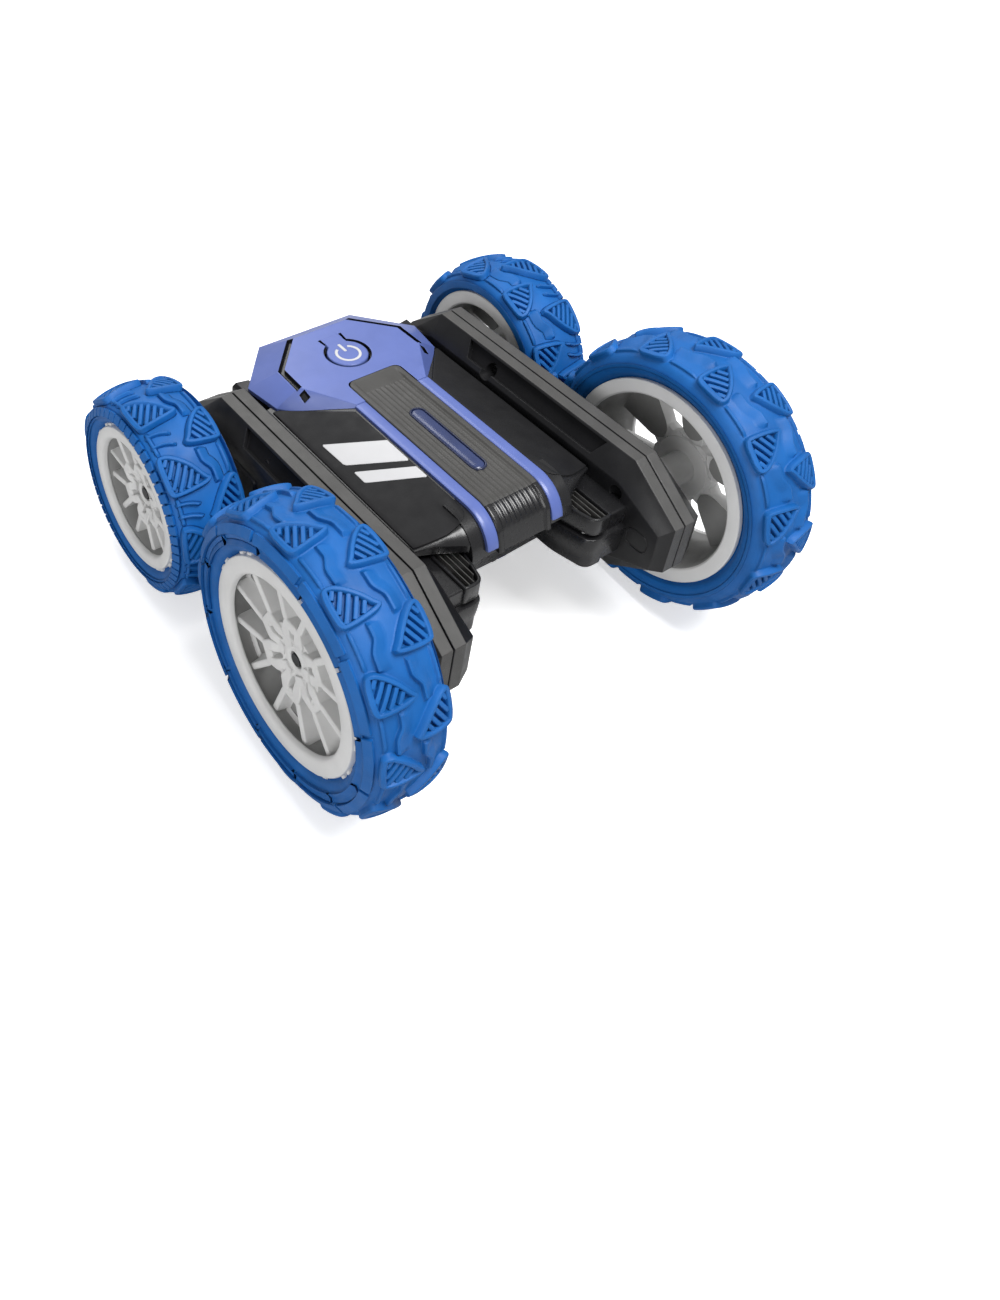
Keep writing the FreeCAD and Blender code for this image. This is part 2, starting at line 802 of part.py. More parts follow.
def motor():
    """A small can motor on the front wheel's axis, with a bore at its front for the shaft."""
    start, end = MOTOR_X
    body = turned(
        "Motor",
        [
            (start, "0"),
            (start, "motor_radius - motor_chamfer"),
            (f"{start} + motor_chamfer", "motor_radius"),
            (f"{end} - motor_end_chamfer", "motor_radius"),
            (end, "motor_radius - motor_end_chamfer"),
            (end, "motor_shaft_radius + running_gap"),
            (f"{end} - shaft_depth - shaft_end_gap", "motor_shaft_radius + running_gap"),
            (f"{end} - shaft_depth - shaft_end_gap", "0"),
        ],
    )
    both_sides(body, "motor", at(*TRAIN["front"]))
    shaft = turned(
        "MotorShaft",
        [
            (f"{end} - shaft_depth", "0"),
            (f"{end} - shaft_depth", "motor_shaft_radius"),
            (f"{MOTOR_PINION_X[1]}", "motor_shaft_radius"),
            (f"{MOTOR_PINION_X[1]}", "0"),
        ],
    )
    both_sides(shaft, "motor_shaft", at(*TRAIN["front"]))


# ---------------------------------------------------------------- wheels


def rim(name, radius, place):
    """A moulded rim: hub, web with windows, barrel, a flat outer ring and a larger inner flange."""
    barrel = f"{radius} - barrel_drop"
    inside = f"{barrel} - barrel_wall"
    ring = f"{radius} * rim_ring_ratio"
    flange = f"{radius} * rim_flange_ratio"
    inner, outer = "rim_inner_x", "rim_outer_x"
    body = turned(
        name,
        [
            ("hub_inner_x", "axle_radius"),
            ("hub_inner_x", "hub_radius"),
            ("web_inner_x", "hub_radius"),
            ("web_inner_x", inside),
            (inner, inside),
            (inner, flange),
            (f"{inner} + rim_flange_width", flange),
            (f"{inner} + rim_flange_width", barrel),
            (f"{outer} - rim_flange_width", barrel),
            (f"{outer} - rim_flange_width", radius),
            (outer, radius),
            (outer, ring),
            (f"{outer} - rim_flange_width", ring),
            (f"{outer} - 2 * rim_flange_width", inside),
            ("web_outer_x", inside),
            ("web_outer_x", "hub_radius"),
            ("hub_outer_x", "hub_radius"),
            ("hub_outer_x", "axle_radius"),
        ],
    )
    window = body_sketch(body, "YZ_Plane", inner)
    reach = f"({inside}) * window_reach_ratio"
    outline(
        window,
        [
            ("hub_radius * window_root_ratio", "-window_root_half"),
            (reach, f"-window_half_ratio * {radius}", "window_bow"),
            (reach, f"window_half_ratio * {radius}"),
            ("hub_radius * window_root_ratio", "window_root_half"),
        ],
    )
    opening = pocket(body, window, f"{outer} - {inner}", forward=True)
    pattern = body.newObject("PartDesign::PolarPattern", "Windows")
    pattern.Originals = [opening]
    pattern.Axis = (window, ["N_Axis"])
    pattern.Angle = 360
    bind(pattern, "Occurrences", "rim_windows")
    body.Tip = pattern
    both_sides(body, place + "_rim", at(*TRAIN[place]))


def tyre(name, rim_radius, tyre_radius, place):
    """A soft tyre between the rim's flanges, with bulged sides and a crowned tread."""
    barrel = f"{rim_radius} - barrel_drop"
    flange = f"{rim_radius} * rim_flange_ratio"
    shoulder = f"{tyre_radius} - tyre_shoulder_drop"
    inner, outer = "rim_inner_x", "rim_outer_x"
    body = turned(
        name,
        [
            (f"{inner} + rim_flange_width", barrel),
            (f"{inner} + rim_flange_width", flange),
            (inner, flange, "-tyre_bulge"),
            (inner, shoulder, "-tyre_shoulder_drop"),
            (outer, shoulder, "-tyre_bulge"),
            (outer, rim_radius),
            (f"{outer} - rim_flange_width", rim_radius),
            (f"{outer} - rim_flange_width", barrel),
        ],
    )
    both_sides(body, place + "_tyre", at(*TRAIN[place]))


def axle(name, place):
    """A steel axle, drilled at its outer end for the wheel screw."""
    body = turned(
        name,
        [
            ("axle_inner_x", "0"),
            ("axle_inner_x", "axle_radius"),
            ("hub_outer_x", "axle_radius"),
            ("hub_outer_x", "screw_radius"),
            ("hub_outer_x - wheel_screw_length - drill_rest", "screw_radius"),
            ("hub_outer_x - wheel_screw_length - drill_rest", "0"),
        ],
    )
    both_sides(body, place + "_axle", at(*TRAIN[place]))


def wheel_screw(name, place):
    """A pan-head screw that holds a wheel on its axle."""
    body = turned(
        name,
        [
            ("hub_outer_x - wheel_screw_length", "0"),
            ("hub_outer_x - wheel_screw_length", "screw_radius"),
            ("hub_outer_x", "screw_radius"),
            ("hub_outer_x", "wheel_screw_head_radius"),
            ("hub_outer_x + screw_head", "wheel_screw_head_radius - wheel_screw_head_taper"),
            ("hub_outer_x + screw_head", "0"),
        ],
    )
    both_sides(body, place + "_wheel_screw", at(*TRAIN[place]))


# ---------------------------------------------------------------- body shells


def head_corners(inset="0"):
    """The outer edge of the broad head of the body, in (x, y)."""
    half = [
        (f"deck_half_width - ({inset})", f"head_root_y + ({inset})"),
        (f"head_side_x - ({inset})", f"head_side_y + 0.5 * ({inset})"),
        (f"head_corner_x - ({inset})", f"head_corner_y - 0.4 * ({inset})"),
        (f"head_back_x - 0.6 * ({inset})", f"head_back_y - ({inset})"),
    ]
    return half + [(f"-({x})", y) for x, y in reversed(half)]


def plateau_corners(inset="0"):
    """The edge of the flat part on top of the head, in (x, y)."""
    half = [
        (f"deck_half_width - plateau_root_trim - 0.5 * ({inset})", "plateau_root_y"),
        (f"plateau_side_x - 0.5 * ({inset})", "plateau_side_y"),
        (f"plateau_corner_x - 0.5 * ({inset})", "plateau_corner_y"),
        (f"plateau_back_x - 0.5 * ({inset})", f"plateau_back_y - 0.5 * ({inset})"),
    ]
    return half + [(f"-({x})", y) for x, y in reversed(half)]


def prism(corners, low, high):
    sketch = free_sketch("XY", "z", low)
    outline(sketch, corners)
    return extrusion(sketch, f"({high}) - ({low})")


def head_rise(edge, edge_z, plateau, plateau_z):
    """The head's bevels, between its outer edge and its flat top."""
    low = free_sketch("XY", "z", edge_z)
    outline(low, edge)
    high = free_sketch("XY", "z", plateau_z)
    outline(high, plateau)
    return loft([low, high])


def waist(inset, front, back):
    """The body between the arms: a flat deck with a sloping panel on each side."""
    sketch = free_sketch("XZ", "y", back)
    side = f"body_half_width - ({inset})"
    deck = f"deck_half_width - 0.2 * ({inset})"
    outline(
        sketch,
        [
            (f"-({side})", "0"),
            (side, "0"),
            (side, f"panel_edge_z - ({inset})"),
            (deck, f"deck_z - ({inset})"),
            (f"-({deck})", f"deck_z - ({inset})"),
            (f"-({side})", f"panel_edge_z - ({inset})"),
        ],
    )
    return extrusion(sketch, f"({back}) - ({front})")


def nose(inset):
    """The rounded nose that stands out between the two motor cases."""
    half = f"nose_half_width - ({inset})"
    sketch = free_sketch("YZ", "x", f"-({half})")
    arc = f"{QUARTER_SAGITTA} * (nose_radius - ({inset}))"
    outline(
        sketch,
        [
            (f"nose_front_y + ({inset})", "nose_centre_z"),
            (f"chin_y + ({inset})", "0"),
            ("nose_centre_y + nose_root", "0"),
            ("nose_centre_y + nose_root", f"deck_z - ({inset})"),
            ("nose_centre_y", f"deck_z - ({inset})", arc),
        ],
    )
    return extrusion(sketch, f"2 * ({half})")


def chin(inset="0"):
    """What the slope under the nose takes away from the lower half of the body."""
    sketch = free_sketch("YZ", "x", "-far")
    run = "(chin_deck_y - chin_y) / deck_z"
    outline(
        sketch,
        [
            ("-far", "-nose_radius"),
            (f"chin_y + ({inset}) - {run} * nose_radius", "-nose_radius"),
            (f"chin_y + ({inset}) + {run} * far", "far"),
            ("-far", "far"),
        ],
    )
    return extrusion(sketch, "2 * far")


def body_block(inset, front, back):
    """The whole of one half of the body, solid. With an inset it is the hollow inside the shell."""
    return joined(
        "BodyBlock",
        [
            waist(inset, front, back),
            nose(inset),
            prism(head_corners(inset), "0", "head_edge_z"),
            head_rise(head_corners(inset), "head_edge_z", plateau_corners(inset), f"deck_z - ({inset})"),
        ],
    )


def wrap(low_x, high_x, thickness, back_y):
    """A band that lies along the deck and follows the nose down."""
    sketch = free_sketch("YZ", "x", low_x)
    inner_arc = f"{QUARTER_SAGITTA} * nose_radius"
    outer_arc = f"{QUARTER_SAGITTA} * (nose_radius + {thickness})"
    outline(
        sketch,
        [
            (back_y, "deck_z"),
            (back_y, f"deck_z + {thickness}"),
            ("nose_centre_y", f"deck_z + {thickness}", outer_arc),
            (f"nose_front_y - {thickness}", "nose_centre_z"),
            ("nose_front_y", "nose_centre_z", f"-({inner_arc})"),
            ("nose_centre_y", "deck_z"),
        ],
    )
    return extrusion(sketch, f"({high_x}) - ({low_x})")


def body_screw_places():
    """The screws that hold the two halves of the body together, and their bosses' tops: (x, y, z)."""
    rows = (("body_screw_front_y", "panel_edge_z + weld"), ("body_screw_back_y", "head_edge_z + weld"))
    return [(f"{side}body_screw_x", y, top) for y, top in rows for side in ("", "-")]


def shell_openings():
    """Room in each half for the motor cases, the arms' screws and the charging socket."""
    tools = []
    side = "nose_half_width + motor_case_side_room"
    back = "front_axle_y + motor_case_half_length + motor_case_room"
    top = "motor_case_half_height + motor_case_room"
    for low, high in ((side, "far"), ("-far", f"-({side})")):
        tools.append(box((low, "-far", "-weld"), (high, back, top)))
    for y, z in arm_screw_places()[:2]:
        tools.append(cylinder("screw_radius + screw_gap", "-far", "far", y, z))
    socket = "socket_half_width + socket_gap"
    inner, height = "socket_inner_y - socket_gap", "socket_half_height + socket_gap"
    tools.append(box((f"-({socket})", inner, "-weld"), (socket, "far", height)))
    return tools


def shell(name, extra_tools, lower=False):
    """One half of the body's shell, with its screw bosses."""
    hollow = body_block("body_wall", "nose_centre_y + body_wall", "body_back_y")
    block = body_block("0", "nose_centre_y", "body_back_y")
    if lower:
        hollow = cut("LowerHollow", hollow, chin("body_wall"))
        block = cut("LowerBlock", block, chin())
    walls = cut("Walls", block, hollow)
    bosses = [
        cylinder("body_boss_radius", "0", top, y, x=x, axis="Z") for x, y, top in body_screw_places()
    ]
    return cut(name, joined("ShellOutside", [walls] + bosses), joined("ShellTools", extra_tools))


def body_shells():
    top_tools = shell_openings()
    hole = "button_radius + button_gap"
    top_tools.append(cylinder(hole, "board_z", "far", "button_y", axis="Z"))
    side = "nose_half_width + weld"
    for level in LEAD_LEVELS:
        place = "front_axle_y + lead_back", level
        top_tools.append(cylinder("lead_hole_radius", f"-({side})", side, *place))
    for x, y, _ in body_screw_places():
        top_tools.append(cylinder("screw_radius", "-weld", "body_screw_end_z + weld", y, x=x, axis="Z"))
    stand(shell("TopShell", top_tools), "body_top_shell")
    bottom_tools = shell_openings()
    bay = ("-bay_half_width", "bay_front_y", "board_z"), ("bay_half_width", "bay_back_y", "far")
    bottom_tools.append(box(*bay))
    head = "screw_head_radius + screw_gap"
    for x, y, _ in body_screw_places():
        bottom_tools.append(cylinder("screw_radius + screw_gap", "-weld", "far", y, x=x, axis="Z"))
        bottom_tools.append(cylinder(head, "body_screw_seat_z", "far", y, x=x, axis="Z"))
    stand(shell("BottomShell", bottom_tools, lower=True), "body_bottom_shell", at(flip=True))


def trim(name, label, place, tools):
    """The coloured head cap with its two long stripes, lying on the shell."""
    rim_z = "head_edge_z + trim_thickness"
    cap = [
        prism(head_corners(), "head_edge_z", rim_z),
        head_rise(head_corners(), rim_z, plateau_corners(), "trim_z"),
        wrap("stripe_inner_x", "deck_half_width", "trim_thickness", "stripe_back_y"),
        wrap("-deck_half_width", "-stripe_inner_x", "trim_thickness", "stripe_back_y"),
    ]
    block = body_block("0", "nose_centre_y", "body_back_y")
    bare = cut(name + "Bare", joined(name + "Cap", cap), block)
    stand(cut(name, bare, joined(name + "Tools", tools)), label, place)


def spine_clearance():
    """Room between the stripes for the spine."""
    return box(("-stripe_inner_x", "-far", "0"), ("stripe_inner_x", "spine_back_y + spine_gap", "far"))


def trims():
    button_hole = cylinder("button_radius + button_gap", "board_z", "far", "button_y", axis="Z")
    trim("TopTrim", "top_trim", None, [spine_clearance(), button_hole])
    trim("BottomTrim", "bottom_trim", at(flip=True), [spine_clearance(), chin()])


def spine(name, label, place, tools):
    """The dark ribbed cover between the stripes, with a slot for the lens."""
    band = wrap("-spine_half_width", "spine_half_width", "spine_thickness", "spine_back_y")
    slot = box(
        ("-lens_half_width - lens_gap", "lens_front_y - lens_gap", "board_z"),
        ("lens_half_width + lens_gap", "lens_back_y + lens_gap", "far"),
    )
    stand(cut(name, band, joined(name + "Tools", [slot] + tools)), label, place)


def lens(name, label, place, low):
    """A long lens with round ends."""
    body = new_body(name)
    sketch = body_sketch(body, "XY_Plane", low)
    half = "lens_half_width"
    front, back = f"lens_front_y + {half}", f"lens_back_y - {half}"
    outline(
        sketch,
        [
            (f"-{half}", back),
            (f"-{half}", front, f"lens_bow * {half}"),
            (half, front),
            (half, back, f"lens_bow * {half}"),
        ],
    )
    pad(body, sketch, f"deck_z + spine_thickness + lens_rise - ({low})")
    stand(body, label, place)


def power_button():
    """A round cap with a retaining flange under the shell and a stem over the switch."""
    body = new_body("PowerButton")
    stem_end = "board_z + board_thickness + switch_height + button_gap + button_travel"
    lip_top = "deck_z - body_wall - button_lip_gap"
    lip_bottom = "deck_z - body_wall - button_lip"
    steps = (
        ("button_radius + button_lip", lip_bottom, lip_top),
        ("button_stem_radius", stem_end, lip_bottom),
        ("button_radius", lip_top, "trim_z"),
    )
    for radius, low, high in steps:
        sketch = body_sketch(body, "XY_Plane", low)
        circle(sketch, "0", "button_y", radius)
        pad(body, sketch, f"({high}) - ({low})")
    stand(body, "power_button")


# ---------------------------------------------------------------- inside the body


def plain_block(name, label, low, high):
    """A rectangular sub-part between two corners, each three formulas."""
    body = new_body(name)
    sketch = body_sketch(body, "XY_Plane", low[2])
    rectangle(sketch, low[0], high[0], low[1], high[1])
    pad(body, sketch, f"({high[2]}) - ({low[2]})")
    stand(body, label)
    return body


def circuit_board():
    """The board, with the radio can, the chip and the tall push switch on it."""
    top = "board_z + board_thickness"
    low = ("-board_half_width", "board_front_y", "board_z")
    body = plain_block("Board", "circuit_board", low, ("board_half_width", "board_back_y", top))
    switch = ("-switch_half", "switch_half", "button_y - switch_half", "button_y + switch_half")
    # each part on the board: its edges in x and in y, and its height
    parts = (
        (*switch, "switch_height"),
        ("-14", "-4", "12", "24", "1.6"),
        ("3", "10", "8", "15", "1"),
        ("10", "17", "20", "34", "2.4"),
    )
    for low_x, high_x, low_y, high_y, height in parts:
        sketch = body_sketch(body, "XY_Plane", top)
        rectangle(sketch, low_x, high_x, low_y, high_y)
        pad(body, sketch, height)


def lamps():
    """Two lamps on the board under the upper lens."""
    top = "board_z + board_thickness"
    pieces = []
    for y in ("-16", "0"):
        shoulder = f"{top} + lamp_foot"
        foot = box(("-lamp_half", f"{y} - lamp_half", top), ("lamp_half", f"{y} + lamp_half", shoulder))
        dome = cylinder("lamp_dome_radius", shoulder, f"{shoulder} + lamp_foot", y, axis="Z")
        pieces.append(joined("Lamp", [foot, dome]))
    stand(group("Lamps", pieces), "lamps")


def battery():
    """One cell in a sleeve, lying along the body over the battery door."""
    body = new_body("Battery")
    sketch = body_sketch(body, "XZ_Plane", "-cell_back_y")
    circle(sketch, "0", "cell_z", "cell_radius")
    pad(body, sketch, "cell_back_y - cell_front_y")
    stand(body, "battery")


def speaker():
    body = new_body("Speaker")
    steps = (
        ("speaker_radius", "speaker_bottom_z", "speaker_step_z"),
        ("speaker_magnet_radius", "speaker_step_z", "speaker_top_z"),
    )
    for radius, low, high in steps:
        sketch = body_sketch(body, "XY_Plane", low)
        circle(sketch, "0", "speaker_y", radius)
        pad(body, sketch, f"({high}) - ({low})")
    stand(body, "speaker")


def antenna():
    """A straight wire, a quarter of the radio's wavelength long."""
    body = new_body("Antenna")
    sketch = body_sketch(body, "XZ_Plane", "-antenna_back_y")
    circle(sketch, "antenna_x", "board_z + 0.5 * board_thickness", "antenna_radius")
    pad(body, sketch, "antenna_length")
    stand(body, "antenna")


def charge_socket():
    """The charging socket in the back wall, with a round bore for the plug."""
    low = ("-socket_half_width", "socket_inner_y", "-socket_half_height")
    high = ("socket_half_width", "head_back_y", "socket_half_height")
    body = plain_block("ChargeSocket", "charge_socket", low, high)
    bore = body_sketch(body, "XZ_Plane", "-head_back_y")
    circle(bore, "0", "0", "socket_bore_radius")
    pocket(body, bore, "socket_depth", forward=True)


def body_screws():
    """The screws that close the body, driven from below, and the one in the battery door."""
    screws = []
    for x, y, _ in body_screw_places():
        seat = "-body_screw_seat_z"
        head = cylinder("screw_head_radius", f"{seat} - screw_head", seat, y, x=x, axis="Z")
        shank = cylinder("screw_radius", seat, "body_screw_end_z", y, x=x, axis="Z")
        screws.append(joined("BodyScrew", [head, shank]))
    stand(group("BodyScrews", screws), "body_screws")


def arm_screws():
    """The screws that hold the arms to the sides of the body, driven from inside it."""
    screws = []
    for y, z in arm_screw_places():
        start = "body_half_width - body_wall"
        head = cylinder("screw_head_radius", f"{start} - screw_head", start, y, z)
        shank = cylinder("screw_radius", start, "arm_screw_end_x", y, z)
        screws.append(joined("ArmScrew", [head, shank]))
    stand(mirrored_group("ArmScrews", screws), "arm_screws")


def motor_leads():
    """Two insulated wires from each motor, through the nose's side, to the board's front edge."""
    radius, board = number("lead_radius"), number("board_z")
    start_y, end_y = number("front_axle_y + lead_back"), number("board_front_y + 1")
    wall = number("nose_half_width")
    middle = sum(LEAD_LEVELS) / len(LEAD_LEVELS)
    wires = []
    for side in SIDES.values():
        for level in LEAD_LEVELS:
            apart = level - middle
            # straight through the two walls, then down along the body to the board
            points = [
                (MOTOR_X[0], start_y, level),
                (wall - 1, start_y, level),
                (wall - 3.5, start_y + 0.3, level),
                (wall - 6.5 + 1.5 * apart, start_y + 3, middle + 0.6 * apart),
                (wall - 8 + 2 * apart, end_y, board - radius),
            ]
            bends = [FreeCAD.Vector(side * x, y, z) for x, y, z in points]
            path = Part.BSplineCurve()
            path.interpolate(bends)
            ring = Part.Wire(Part.Circle(bends[0], FreeCAD.Vector(1, 0, 0), radius).toShape())
            wires.append(Part.Wire(path.toShape()).makePipeShell([ring], True, True))
    feature = document.addObject("Part::Feature", "MotorLeads")
    feature.Shape = Part.Compound(wires)
    stand(feature, "motor_leads")


# ---------------------------------------------------------------- the car


def build():
    gears()
    inner_case()
    outer_case()
    arm_fasteners()
    axle_bushes()
    motor()
    for place in ("front", "rear"):
        name = place.capitalize()
        rim(name + "Rim", f"{place}_rim_radius", place)
        tyre(name + "Tyre", f"{place}_rim_radius", f"{place}_tyre_radius", place)
        axle(name + "Axle", place)
        wheel_screw(name + "WheelScrew", place)
    body_shells()
    trims()
    spine("SpineCover", "spine_cover", None, [])
    spine("BatteryDoor", "battery_door", at(flip=True), [chin()])
    lens("TopLens", "top_lens", None, "deck_z")
    lens("BottomLens", "bottom_lens", at(flip=True), "deck_z")
    power_button()
    circuit_board()
    lamps()
    battery()
    speaker()
    antenna()
    charge_socket()
    body_screws()
    arm_screws()
    motor_leads()
    document.recompute()


def write_parts():
    """Checks every object and sub-part, then writes one STEP file for each sub-part."""
    failed = [item.Label for item in document.Objects if {"Invalid", "Error"} & set(item.State)]
    if failed:
        raise SystemExit(f"failed features: {failed}")
    for piece in nodes:
        if piece.Shape.isNull() or not piece.Shape.isValid():
            raise SystemExit(f"{piece.Label} has no valid shape")
    os.makedirs("parts", exist_ok=True)
    for piece in nodes:
        piece.Shape.exportStep(f"parts/{piece.Label}.step")
    print(len(nodes), "sub-parts written")


build()
write_parts()
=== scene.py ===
import json
import math

import bmesh
import bpy
from mathutils import Matrix, Vector


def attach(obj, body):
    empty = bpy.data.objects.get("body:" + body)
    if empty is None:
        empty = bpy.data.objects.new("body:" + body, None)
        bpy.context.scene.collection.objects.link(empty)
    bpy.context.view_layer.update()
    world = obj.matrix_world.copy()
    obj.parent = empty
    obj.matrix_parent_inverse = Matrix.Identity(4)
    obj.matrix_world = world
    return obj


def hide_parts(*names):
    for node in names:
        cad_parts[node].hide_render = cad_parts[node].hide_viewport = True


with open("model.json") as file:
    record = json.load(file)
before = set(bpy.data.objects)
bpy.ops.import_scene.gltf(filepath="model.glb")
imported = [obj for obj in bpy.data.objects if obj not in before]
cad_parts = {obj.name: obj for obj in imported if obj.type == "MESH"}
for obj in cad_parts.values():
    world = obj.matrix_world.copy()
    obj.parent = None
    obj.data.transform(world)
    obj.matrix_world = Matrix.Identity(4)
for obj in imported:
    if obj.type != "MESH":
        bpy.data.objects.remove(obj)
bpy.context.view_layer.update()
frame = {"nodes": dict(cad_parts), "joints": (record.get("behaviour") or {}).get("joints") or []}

# The looks of a double-sided stunt car: moulded shells, ribbed covers, rims with six forked spokes and soft
# tyres with a lugged tread. Pieces are drawn in the car's level frame, in millimetres: +X right, -Y the end
# with the large wheels, +Z up, z = 0 at the front axle. LEVEL takes that frame to the row frame.

joints = {joint["name"]: joint for joint in frame["joints"]}
UP = -Vector(joints["power_button_press"]["axis"]).normalized()
BACK = UP.cross(Vector((1, 0, 0)))
FRONT_AXLE = Vector(joints["front_wheel_right_spin"]["pos_m"])
REAR_AXLE = Vector(joints["rear_wheel_right_spin"]["pos_m"])
HALF_BASE = (REAR_AXLE - FRONT_AXLE).dot(BACK) / 2
CENTRE = FRONT_AXLE + BACK * HALF_BASE
TURN = Matrix(((1, BACK.x, UP.x), (0, BACK.y, UP.y), (0, BACK.z, UP.z)))
LEVEL = Matrix.Translation(CENTRE) @ TURN.to_4x4() @ Matrix.Scale(0.001, 4)
UNLEVEL = LEVEL.inverted()
AXLE_Y = HALF_BASE * 1000
REAR_Z = (REAR_AXLE - CENTRE).dot(UP) * 1000
FLIP = Matrix.Rotation(math.pi, 4, "Y")


def level_box(node):
    """Lowest and highest corner of a CAD node in the level frame, in millimetres."""
    points = [UNLEVEL @ vertex.co for vertex in frame["nodes"][node].data.vertices]
    low = Vector([min(p[i] for p in points) for i in range(3)])
    high = Vector([max(p[i] for p in points) for i in range(3)])
    return low, high


# ---------------------------------------------------------------- materials


def tree_of(name):
    material = bpy.data.materials.new("look_" + name)
    material.use_nodes = True
    return material, material.node_tree.nodes, material.node_tree.links


def plastic(name, colour, rough, grain=0.25, grain_size=0.35, vary=0.06, wear=0.25, coat=0.0, shine=0.5,
            metal=0.0):
    """Moulded plastic, rubber or metal: mottled colour, uneven gloss, fine grain and rubbed edges.

    grain is the depth of the surface texture and grain_size its width in millimetres.
    """
    material, nodes, links = tree_of(name)
    shader = nodes["Principled BSDF"]
    place = nodes.new("ShaderNodeTexCoord")

    def noise(size, detail=3.0):
        node = nodes.new("ShaderNodeTexNoise")
        node.inputs["Scale"].default_value = 1000.0 / size
        node.inputs["Detail"].default_value = detail
        links.new(place.outputs["Object"], node.inputs["Vector"])
        return node.outputs["Fac"]

    def span(value, low, high):
        node = nodes.new("ShaderNodeMapRange")
        node.inputs["From Min"].default_value = 0.3
        node.inputs["From Max"].default_value = 0.7
        node.inputs["To Min"].default_value = low
        node.inputs["To Max"].default_value = high
        links.new(value, node.inputs["Value"])
        return node.outputs["Result"]

    def mixed(factor, first, second):
        node = nodes.new("ShaderNodeMix")
        node.data_type = "RGBA"
        links.new(factor, node.inputs["Factor"])
        for socket, value in (("A", first), ("B", second)):
            target = [i for i in node.inputs if i.name == socket and i.type == "RGBA"][0]
            if isinstance(value, tuple):
                target.default_value = value
            else:
                links.new(value, target)
        return [o for o in node.outputs if o.type == "RGBA"][0]

    dark = tuple(c * (1 - vary) for c in colour) + (1,)
    light = tuple(min(1, c * (1 + vary) + 0.002) for c in colour) + (1,)
    base = mixed(span(noise(9.0), 0.0, 1.0), dark, light)
    bevel = nodes.new("ShaderNodeBevel")
    bevel.samples = 4
    bevel.inputs["Radius"].default_value = 0.00035
    geometry = nodes.new("ShaderNodeNewGeometry")
    facing = nodes.new("ShaderNodeVectorMath")
    facing.operation = "DOT_PRODUCT"
    links.new(bevel.outputs["Normal"], facing.inputs[0])
    links.new(geometry.outputs["Normal"], facing.inputs[1])
    edge = nodes.new("ShaderNodeMapRange")
    edge.inputs["From Min"].default_value = 0.97
    edge.inputs["From Max"].default_value = 0.75
    edge.inputs["To Max"].default_value = wear
    links.new(facing.outputs["Value"], edge.inputs["Value"])
    patchy = nodes.new("ShaderNodeMath")
    patchy.operation = "MULTIPLY"
    links.new(edge.outputs["Result"], patchy.inputs[0])
    links.new(span(noise(2.5), 0.2, 1.0), patchy.inputs[1])
    rubbed = tuple(min(1, c * 1.2 + 0.03) for c in colour) + (1,)
    links.new(mixed(patchy.outputs["Value"], base, rubbed), shader.inputs["Base Color"])
    links.new(span(noise(4.0), rough * 0.85, min(1, rough * 1.15)), shader.inputs["Roughness"])
    bump = nodes.new("ShaderNodeBump")
    bump.inputs["Strength"].default_value = grain
    bump.inputs["Distance"].default_value = 0.00008
    links.new(noise(grain_size, 2.0), bump.inputs["Height"])
    links.new(bevel.outputs["Normal"], bump.inputs["Normal"])
    links.new(bump.outputs["Normal"], shader.inputs["Normal"])
    shader.inputs["Metallic"].default_value = metal
    shader.inputs["Coat Weight"].default_value = coat
    shader.inputs["Coat Roughness"].default_value = 0.2
    shader.inputs["Specular IOR Level"].default_value = shine
    return material


def lens_plastic(name, colour):
    """Tinted clear plastic with a faint haze."""
    material = plastic(name, colour, 0.24, grain=0.06, vary=0.12, wear=0.1, coat=0.15)
    shader = material.node_tree.nodes["Principled BSDF"]
    shader.inputs["Transmission Weight"].default_value = 0.35
    shader.inputs["IOR"].default_value = 1.49
    return material


